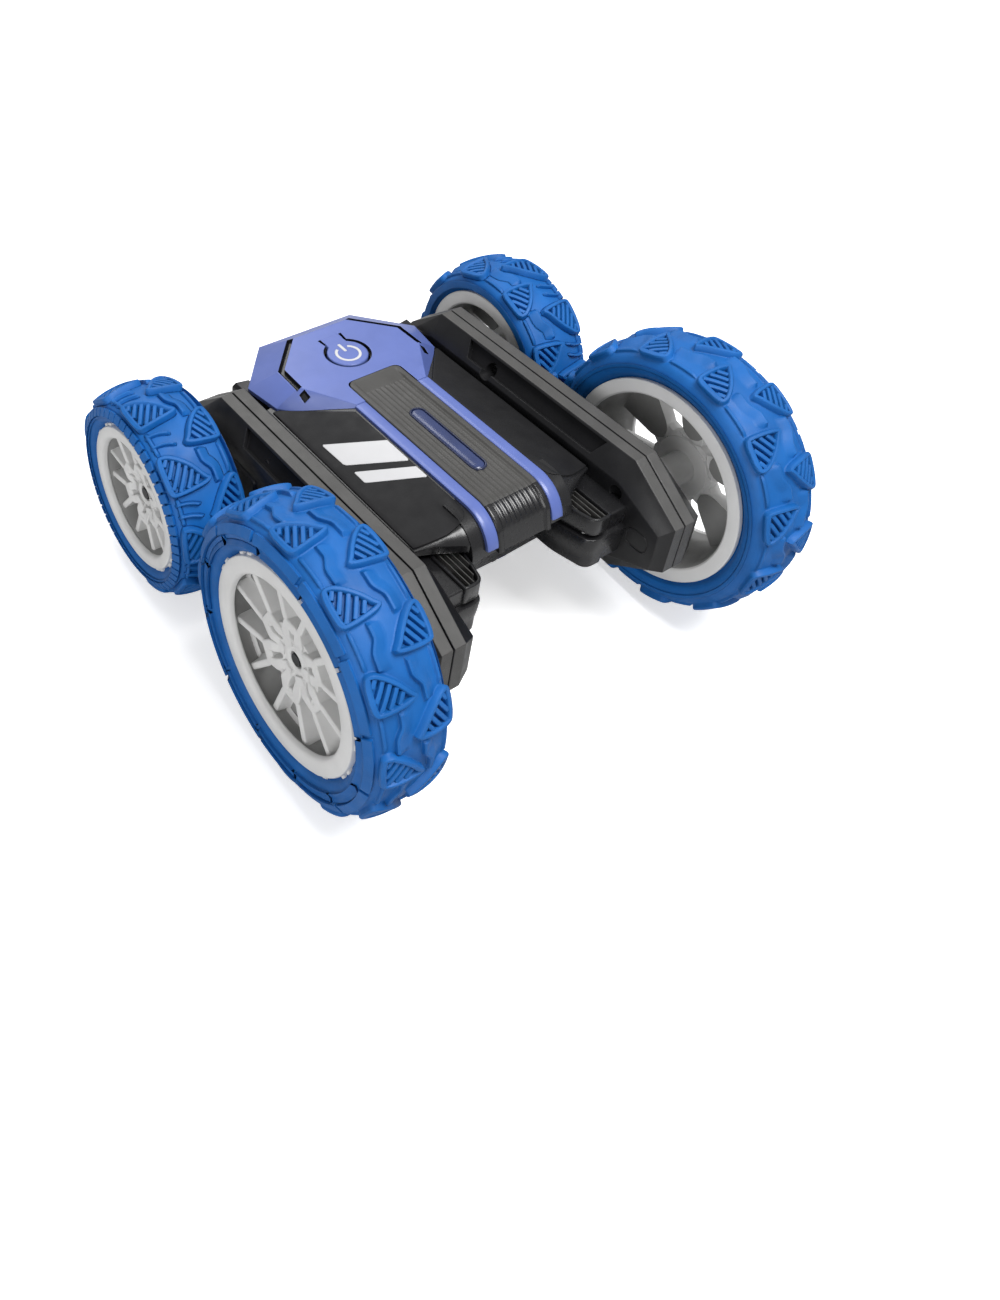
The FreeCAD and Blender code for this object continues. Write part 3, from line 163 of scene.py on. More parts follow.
LOOKS = {
    "black_plastic": plastic("black_plastic", (0.007, 0.007, 0.008), 0.36, grain=0.3, vary=0.15, wear=0.3,
                             shine=0.32),
    "gloss_black": plastic("gloss_black", (0.008, 0.008, 0.009), 0.26, grain=0.08, vary=0.1, wear=0.2, coat=0.25,
                           shine=0.45),
    "matte_black": plastic("matte_black", (0.010, 0.010, 0.011), 0.5, grain=0.35, vary=0.1, wear=0.15, shine=0.18),
    "blue_trim": plastic("blue_trim", (0.085, 0.125, 0.36), 0.36, grain=0.12, vary=0.05, wear=0.3, coat=0.1),
    "dark_grey_plastic": plastic("dark_grey", (0.048, 0.047, 0.045), 0.42, grain=0.3, vary=0.08, wear=0.25,
                                 shine=0.4),
    "strip_grey": plastic("strip_grey", (0.060, 0.059, 0.057), 0.45, grain=0.9, grain_size=0.22, vary=0.1,
                          wear=0.3, shine=0.4),
    "blue_lens": lens_plastic("blue_lens", (0.040, 0.060, 0.17)),
    "lens_edge": plastic("lens_edge", (0.012, 0.018, 0.055), 0.3, grain=0.1, wear=0.1),
    "blue_button": plastic("blue_button", (0.085, 0.125, 0.36), 0.36, grain=0.12, vary=0.05, wear=0.3),
    "grey_rim": plastic("grey_rim", (0.66, 0.66, 0.655), 0.45, grain=0.15, vary=0.04, wear=0.2, shine=0.4),
    "blue_rubber": plastic("blue_rubber", (0.004, 0.098, 0.34), 0.55, grain=0.45, grain_size=0.3, vary=0.1,
                           wear=0.35, shine=0.3),
    # a darker rim grey as painted shade, for the barrel's inside, the spokes' backs and the pocket floors
    "rim_painted_shade": plastic("rim_painted_shade", (0.27, 0.27, 0.267), 0.5, grain=0.2, vary=0.08, wear=0.2, shine=0.3),
    "dark_steel": plastic("dark_steel", (0.05, 0.05, 0.052), 0.38, grain=0.2, vary=0.1, wear=0.3, metal=1.0),
    "steel": plastic("steel", (0.30, 0.30, 0.295), 0.35, grain=0.2, vary=0.06, wear=0.2, metal=1.0),
    "bronze_bush": plastic("bronze", (0.45, 0.27, 0.12), 0.4, grain=0.4, vary=0.12, wear=0.2, metal=1.0),
    "white_nylon": plastic("nylon", (0.72, 0.71, 0.67), 0.45, grain=0.15, vary=0.04, wear=0.1),
    "brass_pinion": plastic("brass", (0.62, 0.43, 0.16), 0.3, grain=0.2, vary=0.08, wear=0.2, metal=1.0),
    "motor_can": plastic("motor_can", (0.42, 0.42, 0.42), 0.32, grain=0.3, vary=0.1, wear=0.2, metal=1.0),
    "green_board": plastic("board", (0.01, 0.10, 0.035), 0.35, grain=0.3, vary=0.25, wear=0.1, coat=0.3),
    "lamp_clear": lens_plastic("lamp", (0.75, 0.80, 0.85)),
    "battery_sleeve": plastic("sleeve", (0.015, 0.10, 0.30), 0.3, grain=0.1, vary=0.08, wear=0.2),
    "speaker_black": plastic("speaker", (0.02, 0.02, 0.02), 0.6, grain=0.5, vary=0.2, wear=0.1),
    "wire_red": plastic("wire_red", (0.45, 0.02, 0.02), 0.4, grain=0.1, vary=0.08, wear=0.1),
    "wire_black": plastic("wire_black", (0.02, 0.02, 0.02), 0.4, grain=0.1, vary=0.1, wear=0.1),
    "socket_black": plastic("socket", (0.015, 0.015, 0.015), 0.4, grain=0.3, vary=0.15, wear=0.2),
    "white_print": plastic("white_print", (0.52, 0.52, 0.53), 0.5, grain=0.2, vary=0.02, wear=0.0, shine=0.2),
    # near-black painted shade for the walls of cut recesses and the inside of the motor vent
    "painted_hollow_shade": plastic("painted_hollow_shade", (0.006, 0.006, 0.007), 0.7, grain=0.3, vary=0.1, wear=0.0, shine=0.15),
}

for node in frame["nodes"].values():
    for index, old in enumerate(node.data.materials):
        if old and old.name.split(".")[0] in LOOKS:
            screws = "screw" in node.name and old.name.startswith("steel")
            node.data.materials[index] = LOOKS["dark_steel" if screws else old.name.split(".")[0]]

# ---------------------------------------------------------------- mesh tools


def piece(name, vertices, faces, looks, body="car_body", slot="black_plastic", replaces=(), face_looks=None,
          place=Matrix(), smooth=32, bevel=None, segments=2):
    """A finished mesh piece from level-frame millimetres, riding on a CAD body."""
    mesh = bpy.data.meshes.new(name)
    mesh.from_pydata([LEVEL @ (place @ Vector(v)) for v in vertices], [], faces)
    for look in looks if isinstance(looks, (list, tuple)) else [looks]:
        mesh.materials.append(LOOKS[look])
    if face_looks:
        mesh.polygons.foreach_set("material_index", face_looks)
    work = bmesh.new()
    work.from_mesh(mesh)
    bmesh.ops.remove_doubles(work, verts=work.verts, dist=2e-6)
    bmesh.ops.recalc_face_normals(work, faces=work.faces)
    work.to_mesh(mesh)
    work.free()
    mesh.polygons.foreach_set("use_smooth", [True] * len(mesh.polygons))
    mesh.set_sharp_from_angle(angle=math.radians(smooth))
    thing = bpy.data.objects.new(name, mesh)
    bpy.context.scene.collection.objects.link(thing)
    if bevel:
        add_bevel(thing, bevel, segments)
    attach(thing, body)
    if replaces:
        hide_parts(*replaces)
    return thing


def add_bevel(thing, width, segments=2):
    modifier = thing.modifiers.new("round", "BEVEL")
    modifier.width = width / 1000
    modifier.segments = segments
    modifier.limit_method = "ANGLE"
    modifier.angle_limit = math.radians(28)
    modifier.harden_normals = False


class Parts:
    """Gathers vertices and faces of many small solids into one piece."""

    def __init__(self):
        self.vertices, self.faces, self.looks = [], [], []

    def add(self, vertices, faces, look=0):
        start = len(self.vertices)
        self.vertices += [tuple(v) for v in vertices]
        self.faces += [tuple(start + i for i in face) for face in faces]
        self.looks += [look] * len(faces)

    def loops(self, loops, look=0, cap_start=True, cap_end=True, closed=True):
        """Joins equal rings of points one to the next."""
        count = len(loops[0])
        vertices = [p for loop in loops for p in loop]
        faces = []
        for level in range(len(loops) - 1):
            for i in range(count if closed else count - 1):
                j = (i + 1) % count
                a, b = level * count, (level + 1) * count
                faces.append((a + i, a + j, b + j, b + i))
        if cap_start:
            faces.append(tuple(range(count)))
        if cap_end:
            faces.append(tuple(reversed(range(len(vertices) - count, len(vertices)))))
        self.add(vertices, faces, look)

    def slab(self, outline, low, high, axis="z", look=0):
        """A prism of a 2-D outline: (x, y) along z, (y, z) along x or (x, z) along y."""
        place = {"z": lambda u, v, w: (u, v, w), "x": lambda u, v, w: (w, u, v), "y": lambda u, v, w: (u, w, v)}
        self.loops([[place[axis](u, v, w) for u, v in outline] for w in (low, high)], look)

    def turned(self, section, count=96, look=0, centre=(0, 0), closed=False):
        """A surface of revolution about X from (x, radius) points."""
        loops = []
        for x, radius in section + (section[:1] if closed else []):
            loops.append([
                (x, centre[0] + radius * math.cos(a), centre[1] + radius * math.sin(a))
                for a in (2 * math.pi * i / count for i in range(count))
            ])
        self.loops(loops, look, cap_start=not closed and section[0][1] > 0,
                   cap_end=not closed and section[-1][1] > 0)

    def make(self, name, looks, **options):
        return piece(name, self.vertices, self.faces, looks, face_looks=self.looks, **options)


def carve(thing, cutters, look="painted_hollow_shade"):
    """Cuts solids (Parts) out of a piece, and keeps the result. The cut walls take a near-black look as painted shade.
    """
    for cutter in cutters:
        mesh = bpy.data.meshes.new("cutter")
        mesh.from_pydata([LEVEL @ Vector(v) for v in cutter.vertices], [], cutter.faces)
        # the cutter's near-black painted shade passes on to the cut walls
        mesh.materials.append(LOOKS[look])
        work = bmesh.new()
        work.from_mesh(mesh)
        bmesh.ops.recalc_face_normals(work, faces=work.faces)
        work.to_mesh(mesh)
        work.free()
        tool = bpy.data.objects.new("cutter", mesh)
        bpy.context.scene.collection.objects.link(tool)
        modifier = thing.modifiers.new("carve", "BOOLEAN")
        modifier.object = tool
        modifier.operation = "DIFFERENCE"
        modifier.solver = "EXACT"
        modifier.material_mode = "TRANSFER"
        kept = [m for m in thing.modifiers if m.type == "BEVEL"]
        for m in kept:
            m.show_viewport = False
        bpy.context.view_layer.update()
        result = bpy.data.meshes.new_from_object(thing.evaluated_get(bpy.context.evaluated_depsgraph_get()))
        thing.modifiers.remove(modifier)
        thing.data = result
        for m in kept:
            m.show_viewport = True
        bpy.data.objects.remove(tool)
    thing.data.polygons.foreach_set("use_smooth", [True] * len(thing.data.polygons))
    thing.data.set_sharp_from_angle(angle=math.radians(32))


def rounded(corners, radius, steps=4):
    """A convex or concave 2-D outline with its corners rounded."""
    out = []
    count = len(corners)
    for i, corner in enumerate(corners):
        r = radius[i] if isinstance(radius, (list, tuple)) else radius
        here = Vector(corner[:2])
        before, after = Vector(corners[i - 1][:2]), Vector(corners[(i + 1) % count][:2])
        to_before, to_after = (before - here), (after - here)
        cut = min(r, to_before.length * 0.45, to_after.length * 0.45)
        if cut < 1e-4:
            out.append((here.x, here.y))
            continue
        start, end = here + to_before.normalized() * cut, here + to_after.normalized() * cut
        for k in range(steps + 1):
            t = k / steps
            p = start.lerp(here, t).lerp(here.lerp(end, t), t)
            out.append((p.x, p.y))
    return out


def resampled(points, count):
    """count points evenly along a closed 2-D outline."""
    points = [Vector(p) for p in points]
    steps = [(points[(i + 1) % len(points)] - points[i]).length for i in range(len(points))]
    total = sum(steps)
    out, index, passed = [], 0, 0.0
    for k in range(count):
        goal = total * k / count
        while passed + steps[index] < goal - 1e-9:
            passed += steps[index]
            index += 1
        t = (goal - passed) / steps[index]
        out.append(points[index].lerp(points[(index + 1) % len(points)], t))
    return out


def inset(points, distance):
    """A closed outline moved inward (or outward when negative) along its normals."""
    count = len(points)
    area = sum(points[i - 1].x * points[i].y - points[i].x * points[i - 1].y for i in range(count))
    side = 1 if area > 0 else -1
    out = []
    for i, point in enumerate(points):
        along = (points[(i + 1) % count] - points[i - 1]).normalized()
        out.append(point + Vector((-along.y, along.x)) * distance * side)
    return out


def arc(cx, cy, radius, start, end, steps):
    """Points of a circular arc, angles in degrees."""
    angles = (math.radians(start + (end - start) * k / steps) for k in range(steps + 1))
    return [(cx + radius * math.cos(a), cy + radius * math.sin(a)) for a in angles]


# ---------------------------------------------------------------- wheels


class Section:
    """A tyre's outside section. t runs along it from the middle of the tread; x is measured outward."""

    def __init__(self, outer_x, inner_x, radius, inner_bead, outer_bead):
        self.middle = (outer_x + inner_x) / 2
        half = (outer_x - inner_x) / 2
        self.sides = {}
        for side, bead in ((1, outer_bead), (-1, inner_bead)):
            knots = [
                (0, radius), (half * 0.4, radius - 0.3), (half * 0.74, radius - 1.1), (half * 0.9, radius - 2.0),
                (half * 0.99, radius - 3.4), (half + 0.75, radius - 5.4), (half + 0.8, (radius + bead) / 2 + 0.6),
                (half + 0.1, bead + 1.9), (half - 1.7, bead + 0.15),
            ]
            self.sides[side] = self.spline(knots)
        self.reach = {side: line[-1][0] for side, line in self.sides.items()}

    @staticmethod
    def spline(knots):
        """Dense (length so far, x, radius) along a smooth curve through the knots."""
        points = [Vector(k) for k in knots]
        mirrored = Vector((-knots[1][0], knots[1][1]))
        points = [mirrored] + points + [points[-1] * 2 - points[-2]]
        line, length, last = [], 0.0, None
        for i in range(1, len(points) - 2):
            a, b, c, d = points[i - 1:i + 3]
            for k in range(12 if i < len(points) - 3 else 13):
                t = k / 12
                p = 0.5 * (2 * b + (c - a) * t + (2 * a - 5 * b + 4 * c - d) * t * t
                           + (3 * b - a - 3 * c + d) * t ** 3)
                length += (p - last).length if last else 0.0
                last = p
                line.append((length, p.x, p.y))
        return line

    def at(self, t, height=0.0):
        """(x, radius) at t along the section, raised along the surface's normal."""
        side = 1 if t >= 0 else -1
        line, goal = self.sides[side], min(abs(t), self.reach[side] - 1e-6)
        low, high = 0, len(line) - 1
        while high - low > 1:
            mid = (low + high) // 2
            if line[mid][0] <= goal:
                low = mid
            else:
                high = mid
        a, b = line[low], line[high]
        k = (goal - a[0]) / max(b[0] - a[0], 1e-9)
        x, radius = a[1] + (b[1] - a[1]) * k, a[2] + (b[2] - a[2]) * k
        dx, dr = b[1] - a[1], b[2] - a[2]
        size = math.hypot(dx, dr)
        return self.middle + side * (x - dr / size * height), radius + dx / size * height


def lug_outline(width, length):
    """A shark-fin outline: straight side at a = width, curved side from the base to the tip."""
    corners = [(0.0, 1.3), (0.7, 0.0), (width * 0.5, -0.45), (width - 0.9, -0.1), (width, 1.4),
               (width - 0.3, length * 0.55), (width - 0.9, length - 1.6), (width - 1.9, length - 0.15),
               (width - 3.4, length * 0.87), (width * 0.43, length * 0.68), (width * 0.19, length * 0.45),
               (width * 0.04, length * 0.25)]
    smooth = []
    count = len(corners)
    for i in range(count):
        a, b, c, d = (Vector(corners[(i + k - 1) % count]) for k in range(4))
        for k in range(6):
            t = k / 6
            smooth.append(0.5 * (2 * b + (c - a) * t + (2 * a - 5 * b + 4 * c - d) * t * t
                                 + (3 * b - a - 3 * c + d) * t ** 3))
    return resampled(smooth, 44)


def tyre(name, place, section, radius, height, pattern, body, node, sign, turn):
    """A tyre with raised lug frames, slats inside them, stepped ribs and sidewall panels.

    sign is 1 on the right and -1 on the left, which is the same moulding turned end for end. turn is the angle
    of a lug of the inner row.
    """
    parts = Parts()
    axle_y, axle_z = place

    def spot(angle, t, h):
        x, r = section.at(t, h)
        a = math.radians(angle)
        return sign * x, axle_y + r * math.cos(a), axle_z + r * math.sin(a)

    count = 160
    reach_in, reach_out = section.reach[-1], section.reach[1]
    stations = [-reach_in + (reach_in + reach_out) * k / 64 for k in range(65)]
    rings = [[spot(360 * i / count, t, 0) for i in range(count)] for t in stations]
    bead_x = [(section.at(-reach_in)[0] + 0.6, section.at(-reach_in)[1] - 2.2),
              (section.at(reach_out)[0] - 0.6, section.at(reach_out)[1] - 2.2)]
    for x, r in (bead_x[0],):
        rings.insert(0, [(sign * x, axle_y + r * math.cos(2 * math.pi * i / count),
                          axle_z + r * math.sin(2 * math.pi * i / count)) for i in range(count)])
    for x, r in (bead_x[1],):
        rings.append([(sign * x, axle_y + r * math.cos(2 * math.pi * i / count),
                       axle_z + r * math.sin(2 * math.pi * i / count)) for i in range(count)])
    parts.loops(rings + rings[:1], cap_start=False, cap_end=False)

    per_mm = math.degrees(1 / radius)
    pitch = 360 / pattern["count"]
    # The moulding turns the other way round on the right, seen from +X.
    direction = -sign

    round_ridge = ((-0.75, -0.3), (-0.4, 0.82), (0, 1.0), (0.4, 0.82), (0.75, -0.3))
    terrace = ((-0.7, -0.3), (-0.5, 1.15), (0.0, 1.35), (0.9, 0.95), (3.2, -0.2))

    def ribbon(points, wide, tall, row, shape=round_ridge):
        """A low ridge along (angle in mm, distance from the row's shoulder) points."""
        loops = []
        for i, (a, b) in enumerate(points):
            before, after = points[max(0, i - 1)], points[min(len(points) - 1, i + 1)]
            along = Vector((after[0] - before[0], after[1] - before[1])).normalized()
            side = Vector((-along.y, along.x))
            end = min(i, len(points) - 1 - i) == 0
            ring = []
            for offset, h in shape:
                p = Vector((a, b)) + side * offset * wide
                ring.append(row(p.x, p.y, (h if not end else min(h, -0.1)) * tall))
            loops.append(ring)
        parts.loops(loops, closed=True)

    for row_sign in (-1, 1):
        spec = pattern["inner" if row_sign < 0 else "outer"]
        outline = lug_outline(spec["width"], spec["length"])
        base_t = section.reach[row_sign]
        shoulder = spec["shoulder"]
        for index in range(pattern["count"]):
            middle = turn + pitch * index + (0 if row_sign < 0 else pattern["stagger"])

            def row(a, b, h, middle=middle, spec=spec, row_sign=row_sign, shoulder=shoulder):
                angle = middle + direction * (a - spec["width"] / 2) * per_mm
                return spot(angle, row_sign * (shoulder - b), h)

            loops = []
            for offset, h in ((-0.9, -0.35), (-0.35, 0.1), (-0.12, height * 0.8), (0.18, height),
                              (0.85, height), (1.1, height * 0.84), (1.2, 0.25)):
                loops.append([row(p.x, p.y, h) for p in inset(outline, offset)])
            parts.loops(loops, cap_start=False, cap_end=True)
            # slats, lying aslant across the recess
            hollow = inset(outline, 1.15)
            slope = math.radians(-31)
            along = Vector((math.cos(slope), math.sin(slope)))
            across = Vector((-along.y, along.x))
            low = min(p.dot(across) for p in hollow)
            high = max(p.dot(across) for p in hollow)
            slats = spec["slats"]
            step = (high - low) / slats
            for k in range(slats):
                level = low + step * (k + 0.5)
                hits = []
                for i, p in enumerate(hollow):
                    q = hollow[(i + 1) % len(hollow)]
                    u, v = p.dot(across) - level, q.dot(across) - level
                    if (u < 0) != (v < 0):
                        hits.append(p.lerp(q, u / (u - v)).dot(along))
                if len(hits) < 2:
                    continue
                start, end = min(hits), max(hits)
                if end - start < 1.0:
                    continue
                loops = []
                for s in [start + (end - start) * j / 5 for j in range(6)]:
                    centre = along * s + across * level
                    ring = []
                    for offset, h in ((-0.36, 0.1), (-0.27, 0.72), (0, 0.8), (0.27, 0.72), (0.36, 0.1)):
                        p = centre + across * offset * step
                        ring.append(row(p.x, p.y, height * h))
                    loops.append(ring)
                parts.loops(loops, closed=True)
            # the stepped rib on to the next lug
            gap = pitch / per_mm
            first, last = spec["width"] + 0.4, gap + 1.2
            if spec["rib"]:
                high_b, low_b = spec["rib"]
                line = []
                for k in range(13):
                    t = k / 12
                    ease = min(1, max(0, (t - 0.3) / 0.34))
                    ease = ease * ease * (3 - 2 * ease)
                    line.append((first + (last - first) * t, high_b + (low_b - high_b) * ease))
                shape = terrace if row_sign > 0 else tuple((-o, h) for o, h in terrace)
                ribbon(line, 1.0, 0.95, row, shape)
            for a, bend in spec["bars"]:
                line = []
                for k in range(9):
                    t = k / 8
                    line.append((spec["width"] + a + bend * (t - 0.2) ** 2, -0.4 + spec["length"] * 0.62 * t))
                ribbon(line, 0.85, 1.2, row)
            # the shoulder's edge between lugs
            line = [(spec["width"] + 0.6 + (gap - spec["width"] - 1.0) * k / 8, 0.75) for k in range(9)]
            ribbon(line, 0.9, 0.8, row)
    # stepped panels round the outer sidewall
    panels = pattern["panels"]
    wide = 360 / panels
    top, bottom = pattern["panel_span"]
    steps = [0, 0.4, 0.5, 1.0] if pattern["stepped"] else [0, 0.33, 0.66, 1.0]
    shifts = [0, 0, 3.0, 3.0] if pattern["stepped"] else [0, 0, 0, 0]
    gap = 1.5 if pattern["stepped"] else 0.75
    rim_of = ([(0, j) for j in range(11)] + [(i, 10) for i in range(1, 4)]
              + [(3, j) for j in range(9, -1, -1)] + [(i, 0) for i in range(2, 0, -1)])
    for index in range(panels):
        start = turn + pattern["stagger"] + pitch * 0.5 + wide * index
        rows = []
        for share, shift in zip(steps, shifts):
            t = top + (bottom - top) * share
            left = start + direction * shift * per_mm + gap / 2 * per_mm
            right = left + wide - gap * per_mm
            rows.append([(left + (right - left) * j / 10, t) for j in range(11)])
        low = [[spot(a, t, -0.3) for a, t in line] for line in rows]
        high = [[spot(a, t, 1.0) for a, t in line] for line in rows]
        vertices = [p for line in high for p in line] + [low[i][j] for i, j in rim_of]
        faces = [(i * 11 + j, i * 11 + j + 1, (i + 1) * 11 + j + 1, (i + 1) * 11 + j)
                 for i in range(3) for j in range(10)]
        for k, (i, j) in enumerate(rim_of):
            i2, j2 = rim_of[(k + 1) % len(rim_of)]
            faces.append((i * 11 + j, 44 + k, 44 + (k + 1) % len(rim_of), i2 * 11 + j2))
        parts.add(vertices, faces)
    return parts.make(name, "blue_rubber", body=body, slot="blue_rubber", replaces=(node,), smooth=38)


def rim(name, place, node, sign, body, turn, tab_turn):
    """A moulded rim: a wide flat ring, a deep barrel, six forked spokes and a dished hub."""
    low, high = level_box(node)
    outer_x = max(abs(low.x), abs(high.x))
    inner_x = min(abs(low.x), abs(high.x))
    barrel_inner_x = inner_x + 1.5
    flange = (high.z - low.z) / 2
    radius = flange / 1.07
    ring = radius * 0.82
    wall = radius - 4.1
    parts = Parts()
    axle_y, axle_z = place
    count = 120

    def spot(x, r, angle):
        a = math.radians(angle)
        return sign * x, axle_y + r * math.cos(a), axle_z + r * math.sin(a)

    def turned(section, closed=True):
        loops = [[spot(x, r, 360 * i / count) for i in range(count)] for x, r in section]
        parts.loops(loops + (loops[:1] if closed else []), cap_start=False, cap_end=False)

    turned([
        (outer_x - 0.12, radius - 0.2), (outer_x, radius - 0.6), (outer_x, ring + 1.1), (outer_x - 0.2, ring + 0.6),
        (outer_x - 0.8, ring + 0.1), (outer_x - 1.7, ring), (outer_x - 2.0, ring + 0.3), (outer_x - 3.6, wall),
        (inner_x + 1.8, flange - 5.0), (inner_x + 0.4, flange - 4.4), (inner_x, flange - 3.9), (inner_x, flange - 0.5),
        (inner_x + 0.25, flange), (barrel_inner_x, flange), (barrel_inner_x, flange - 3.2),
        (outer_x - 2.4, wall + 1.6), (outer_x - 2.4, radius), (outer_x - 0.5, radius),
    ])
    # the barrel's inside is painted darker as shade
    for index in range(6 * count, 9 * count):
        parts.looks[index] = 1
    scale = radius / 30
    hub_top = 72.0
    # the dished hub round a recessed screw, and the tube behind it
    turned([
        (54.3, 1.6), (54.3, 4.4), (54.7, 4.9), (67.6, 5.0), (67.6, 8.6 * scale + 1.0), (69.0, 9.4 * scale + 0.5),
        (70.2, 9.2 * scale + 0.3), (70.4, 6.8 * scale), (hub_top - 1.2, 5.9 * scale), (hub_top - 0.6, 5.2 * scale),
        (hub_top - 0.6, 4.3 * scale + 0.1), (hub_top - 0.4, 3.6), (hub_top - 0.5, 2.9), (hub_top - 0.9, 2.4), (70.0, 2.4),
        (70.0, 1.6),
    ])
    top_x, floor_x, back_x = 72.7, 69.2, 68.3
    reach = wall + 0.5
    for k in range(6):
        centre = turn + 60 * k
        half_out = math.radians(13.8)
        inner_r = 12.6 * scale
        # a pocket with a rounded inner end, opening out to the barrel
        root = 2.1 * scale
        pocket = [(inner_r - 0.4, 0.0), (inner_r + 0.4, -root * 0.75), (inner_r + 1.8, -root * 1.15)]
        edge = [(reach * math.cos(a), reach * math.sin(a)) for a in
                (-half_out + 2 * half_out * j / 8 for j in range(9))]
        pocket += edge
        pocket += [(inner_r + 1.8, root * 1.15), (inner_r + 0.4, root * 0.75)]
        line = resampled([Vector(p) for p in pocket], 56)
        side = inset(line, -2.0 * (0.6 + 0.4 * scale))

        def ringed(points, x, slope=0.0):
            out = []
            for p in points:
                r, a = p.length, math.degrees(math.atan2(p.y, p.x))
                out.append(spot(x + slope * (r - 12) / 12, min(r, reach + 0.9), centre + a))
            return out

        loops = [ringed(side, back_x), ringed(side, top_x - 0.3, 0.3), ringed(inset(line, -1.65 * scale), top_x, 0.3),
                 ringed(inset(line, -0.25), top_x, 0.3), ringed(line, top_x - 0.25, 0.3),
                 ringed(inset(line, 0.4 * scale), floor_x + 0.8), ringed(inset(line, 1.0 * scale), floor_x)]
        start = len(parts.faces)
        parts.loops(loops, cap_start=True, cap_end=True)
        # the spoke's back and its pocket floor are painted darker as shade, so the pocket reads deeper
        parts.looks[start + 56 * 6] = 1
        parts.looks[start + 56 * 6 + 1] = 1
        # the spoke's root, with a slot down to the hub
        wide = 4.1 * scale + 0.5
        root_plan = [(4.2, -2.5), (8.6 * scale, -wide), (inner_r + 1.2, -wide * 0.72),
                     (inner_r + 1.2, wide * 0.72), (8.6 * scale, wide), (4.2, 2.5)]
        plan = resampled(rounded(root_plan, 0.8), 40)
        slot_mid = 8.4 * scale + 0.6
        slot = resampled(rounded([(slot_mid - 2.8 * scale, -0.8), (slot_mid + 2.6 * scale, -1.15 * scale),
                                  (slot_mid + 2.6 * scale, 1.15 * scale), (slot_mid - 2.8 * scale, 0.8)], 0.8), 40)

        def top(p, drop=0.0):
            r, a = p.length, math.degrees(math.atan2(p.y, p.x))
            rise = min(1.0, max(0.0, (r - 4.0) / (5.5 * scale)))
            x = hub_top - 0.9 + 1.75 * rise * rise * (3 - 2 * rise) - drop
            return spot(x, r, centre + a)

        flat = [[spot(back_x + 0.35, p.length, centre + math.degrees(math.atan2(p.y, p.x))) for p in plan]]
        flat.append([top(p, 0.3) for p in plan])
        flat.append([top(p) for p in inset(plan, 0.3)])
        flat.append([top(p) for p in inset(slot, -0.25)])
        flat.append([top(p, 0.25) for p in slot])
        flat.append([top(p, 2.6) for p in inset(slot, 0.1)])
        parts.loops(flat, cap_start=True, cap_end=True)
        # a thin web from the hub into the opening between two spokes
        gap = centre + 30
        web = [(68.1, 5.0, 20), (68.1, 9.4 * scale, 19), (68.1, 10.6 * scale, 12), (68.1, 11.2 * scale, 5)]
        ring_low = [spot(x, r, gap - a) for x, r, a in web] + [spot(x, r, gap + a) for x, r, a in reversed(web)]
        ring_high = [spot(x + 3.9, r - 0.4, gap - a) for x, r, a in web]
        ring_high += [spot(x + 3.9, r - 0.4, gap + a) for x, r, a in reversed(web)]
        parts.loops([ring_low, ring_high])
    # small paired tabs on the ring's edge, over the tyre's bead
    for k in range(12):
        for lean in (-4, 4):
            middle = tab_turn + 30 * k + lean
            half = 1.0 / radius * 57.3
            loops = []
            for x, grow in ((outer_x - 2.2, 0.0), (outer_x - 0.9, 0.0), (outer_x - 0.7, -0.2)):
                loops.append([spot(x, r, a) for r, a in (
                    (radius - 0.8, middle - half), (radius + 0.8 + grow, middle - half - grow),
                    (radius + 0.8 + grow, middle + half + grow), (radius - 0.8, middle + half))])
            parts.loops(loops)
    return parts.make(name, ["grey_rim", "rim_painted_shade"], body=body, slot="grey_rim", replaces=(node,), smooth=34)


FRONT_TREAD = {
    "count": 12, "stagger": 15, "panels": 12, "panel_span": (11.0, 17.6), "stepped": True,
    "inner": {"width": 10.6, "length": 10.6, "slats": 6, "shoulder": 9.4, "rib": (7.9, 5.9), "bars": ()},
    "outer": {"width": 10.8, "length": 10.4, "slats": 6, "shoulder": 9.4, "rib": (5.6, 3.9), "bars": ()},
}
REAR_TREAD = {
    "count": 9, "stagger": 20, "panels": 54, "panel_span": (10.9, 14.6), "stepped": False,
    "inner": {"width": 11.4, "length": 10.2, "slats": 6, "shoulder": 9.4, "rib": (7.6, 5.6), "bars": ()},
    "outer": {"width": 12.4, "length": 11.6, "slats": 7, "shoulder": 9.4, "rib": None,
              "bars": ((2.6, 3.0), (6.4, 3.0))},
}
LUG_HEIGHT = 1.9
WHEEL_TURNS = {
    ("front", 1): (13.5, 84), ("front", -1): (10.9, 84), ("rear", 1): (32.0, 84), ("rear", -1): (32.0, 84),
}


def wheels():
    for where, tread in (("front", FRONT_TREAD), ("rear", REAR_TREAD)):
        place = (-AXLE_Y, 0.0) if where == "front" else (AXLE_Y, REAR_Z)
        for side, sign in (("right", 1), ("left", -1)):
            tyre_node, rim_node = f"{where}_tyre_{side}", f"{where}_rim_{side}"
            low, high = level_box(tyre_node)
            radius = (high.z - low.z) / 2
            rim_low, rim_high = level_box(rim_node)
            flange = (rim_high.z - rim_low.z) / 2
            ends = [abs(rim_low.x), abs(rim_high.x)]
            section = Section(max(ends), min(ends), radius - LUG_HEIGHT, flange + 0.1, flange / 1.07 + 0.1)
            body = f"{where}_wheel_{side}"
            turn, tab_turn = WHEEL_TURNS[where, sign]
            tyre(f"{where}_tyre_lugged_{side}", place, section, radius, LUG_HEIGHT, tread, body, tyre_node,
                 sign, turn)
            rim(f"{where}_rim_forked_{side}", place, rim_node, sign, body, 88.5 if sign < 0 else 90.0, tab_turn)


wheels()

# ---------------------------------------------------------------- arms


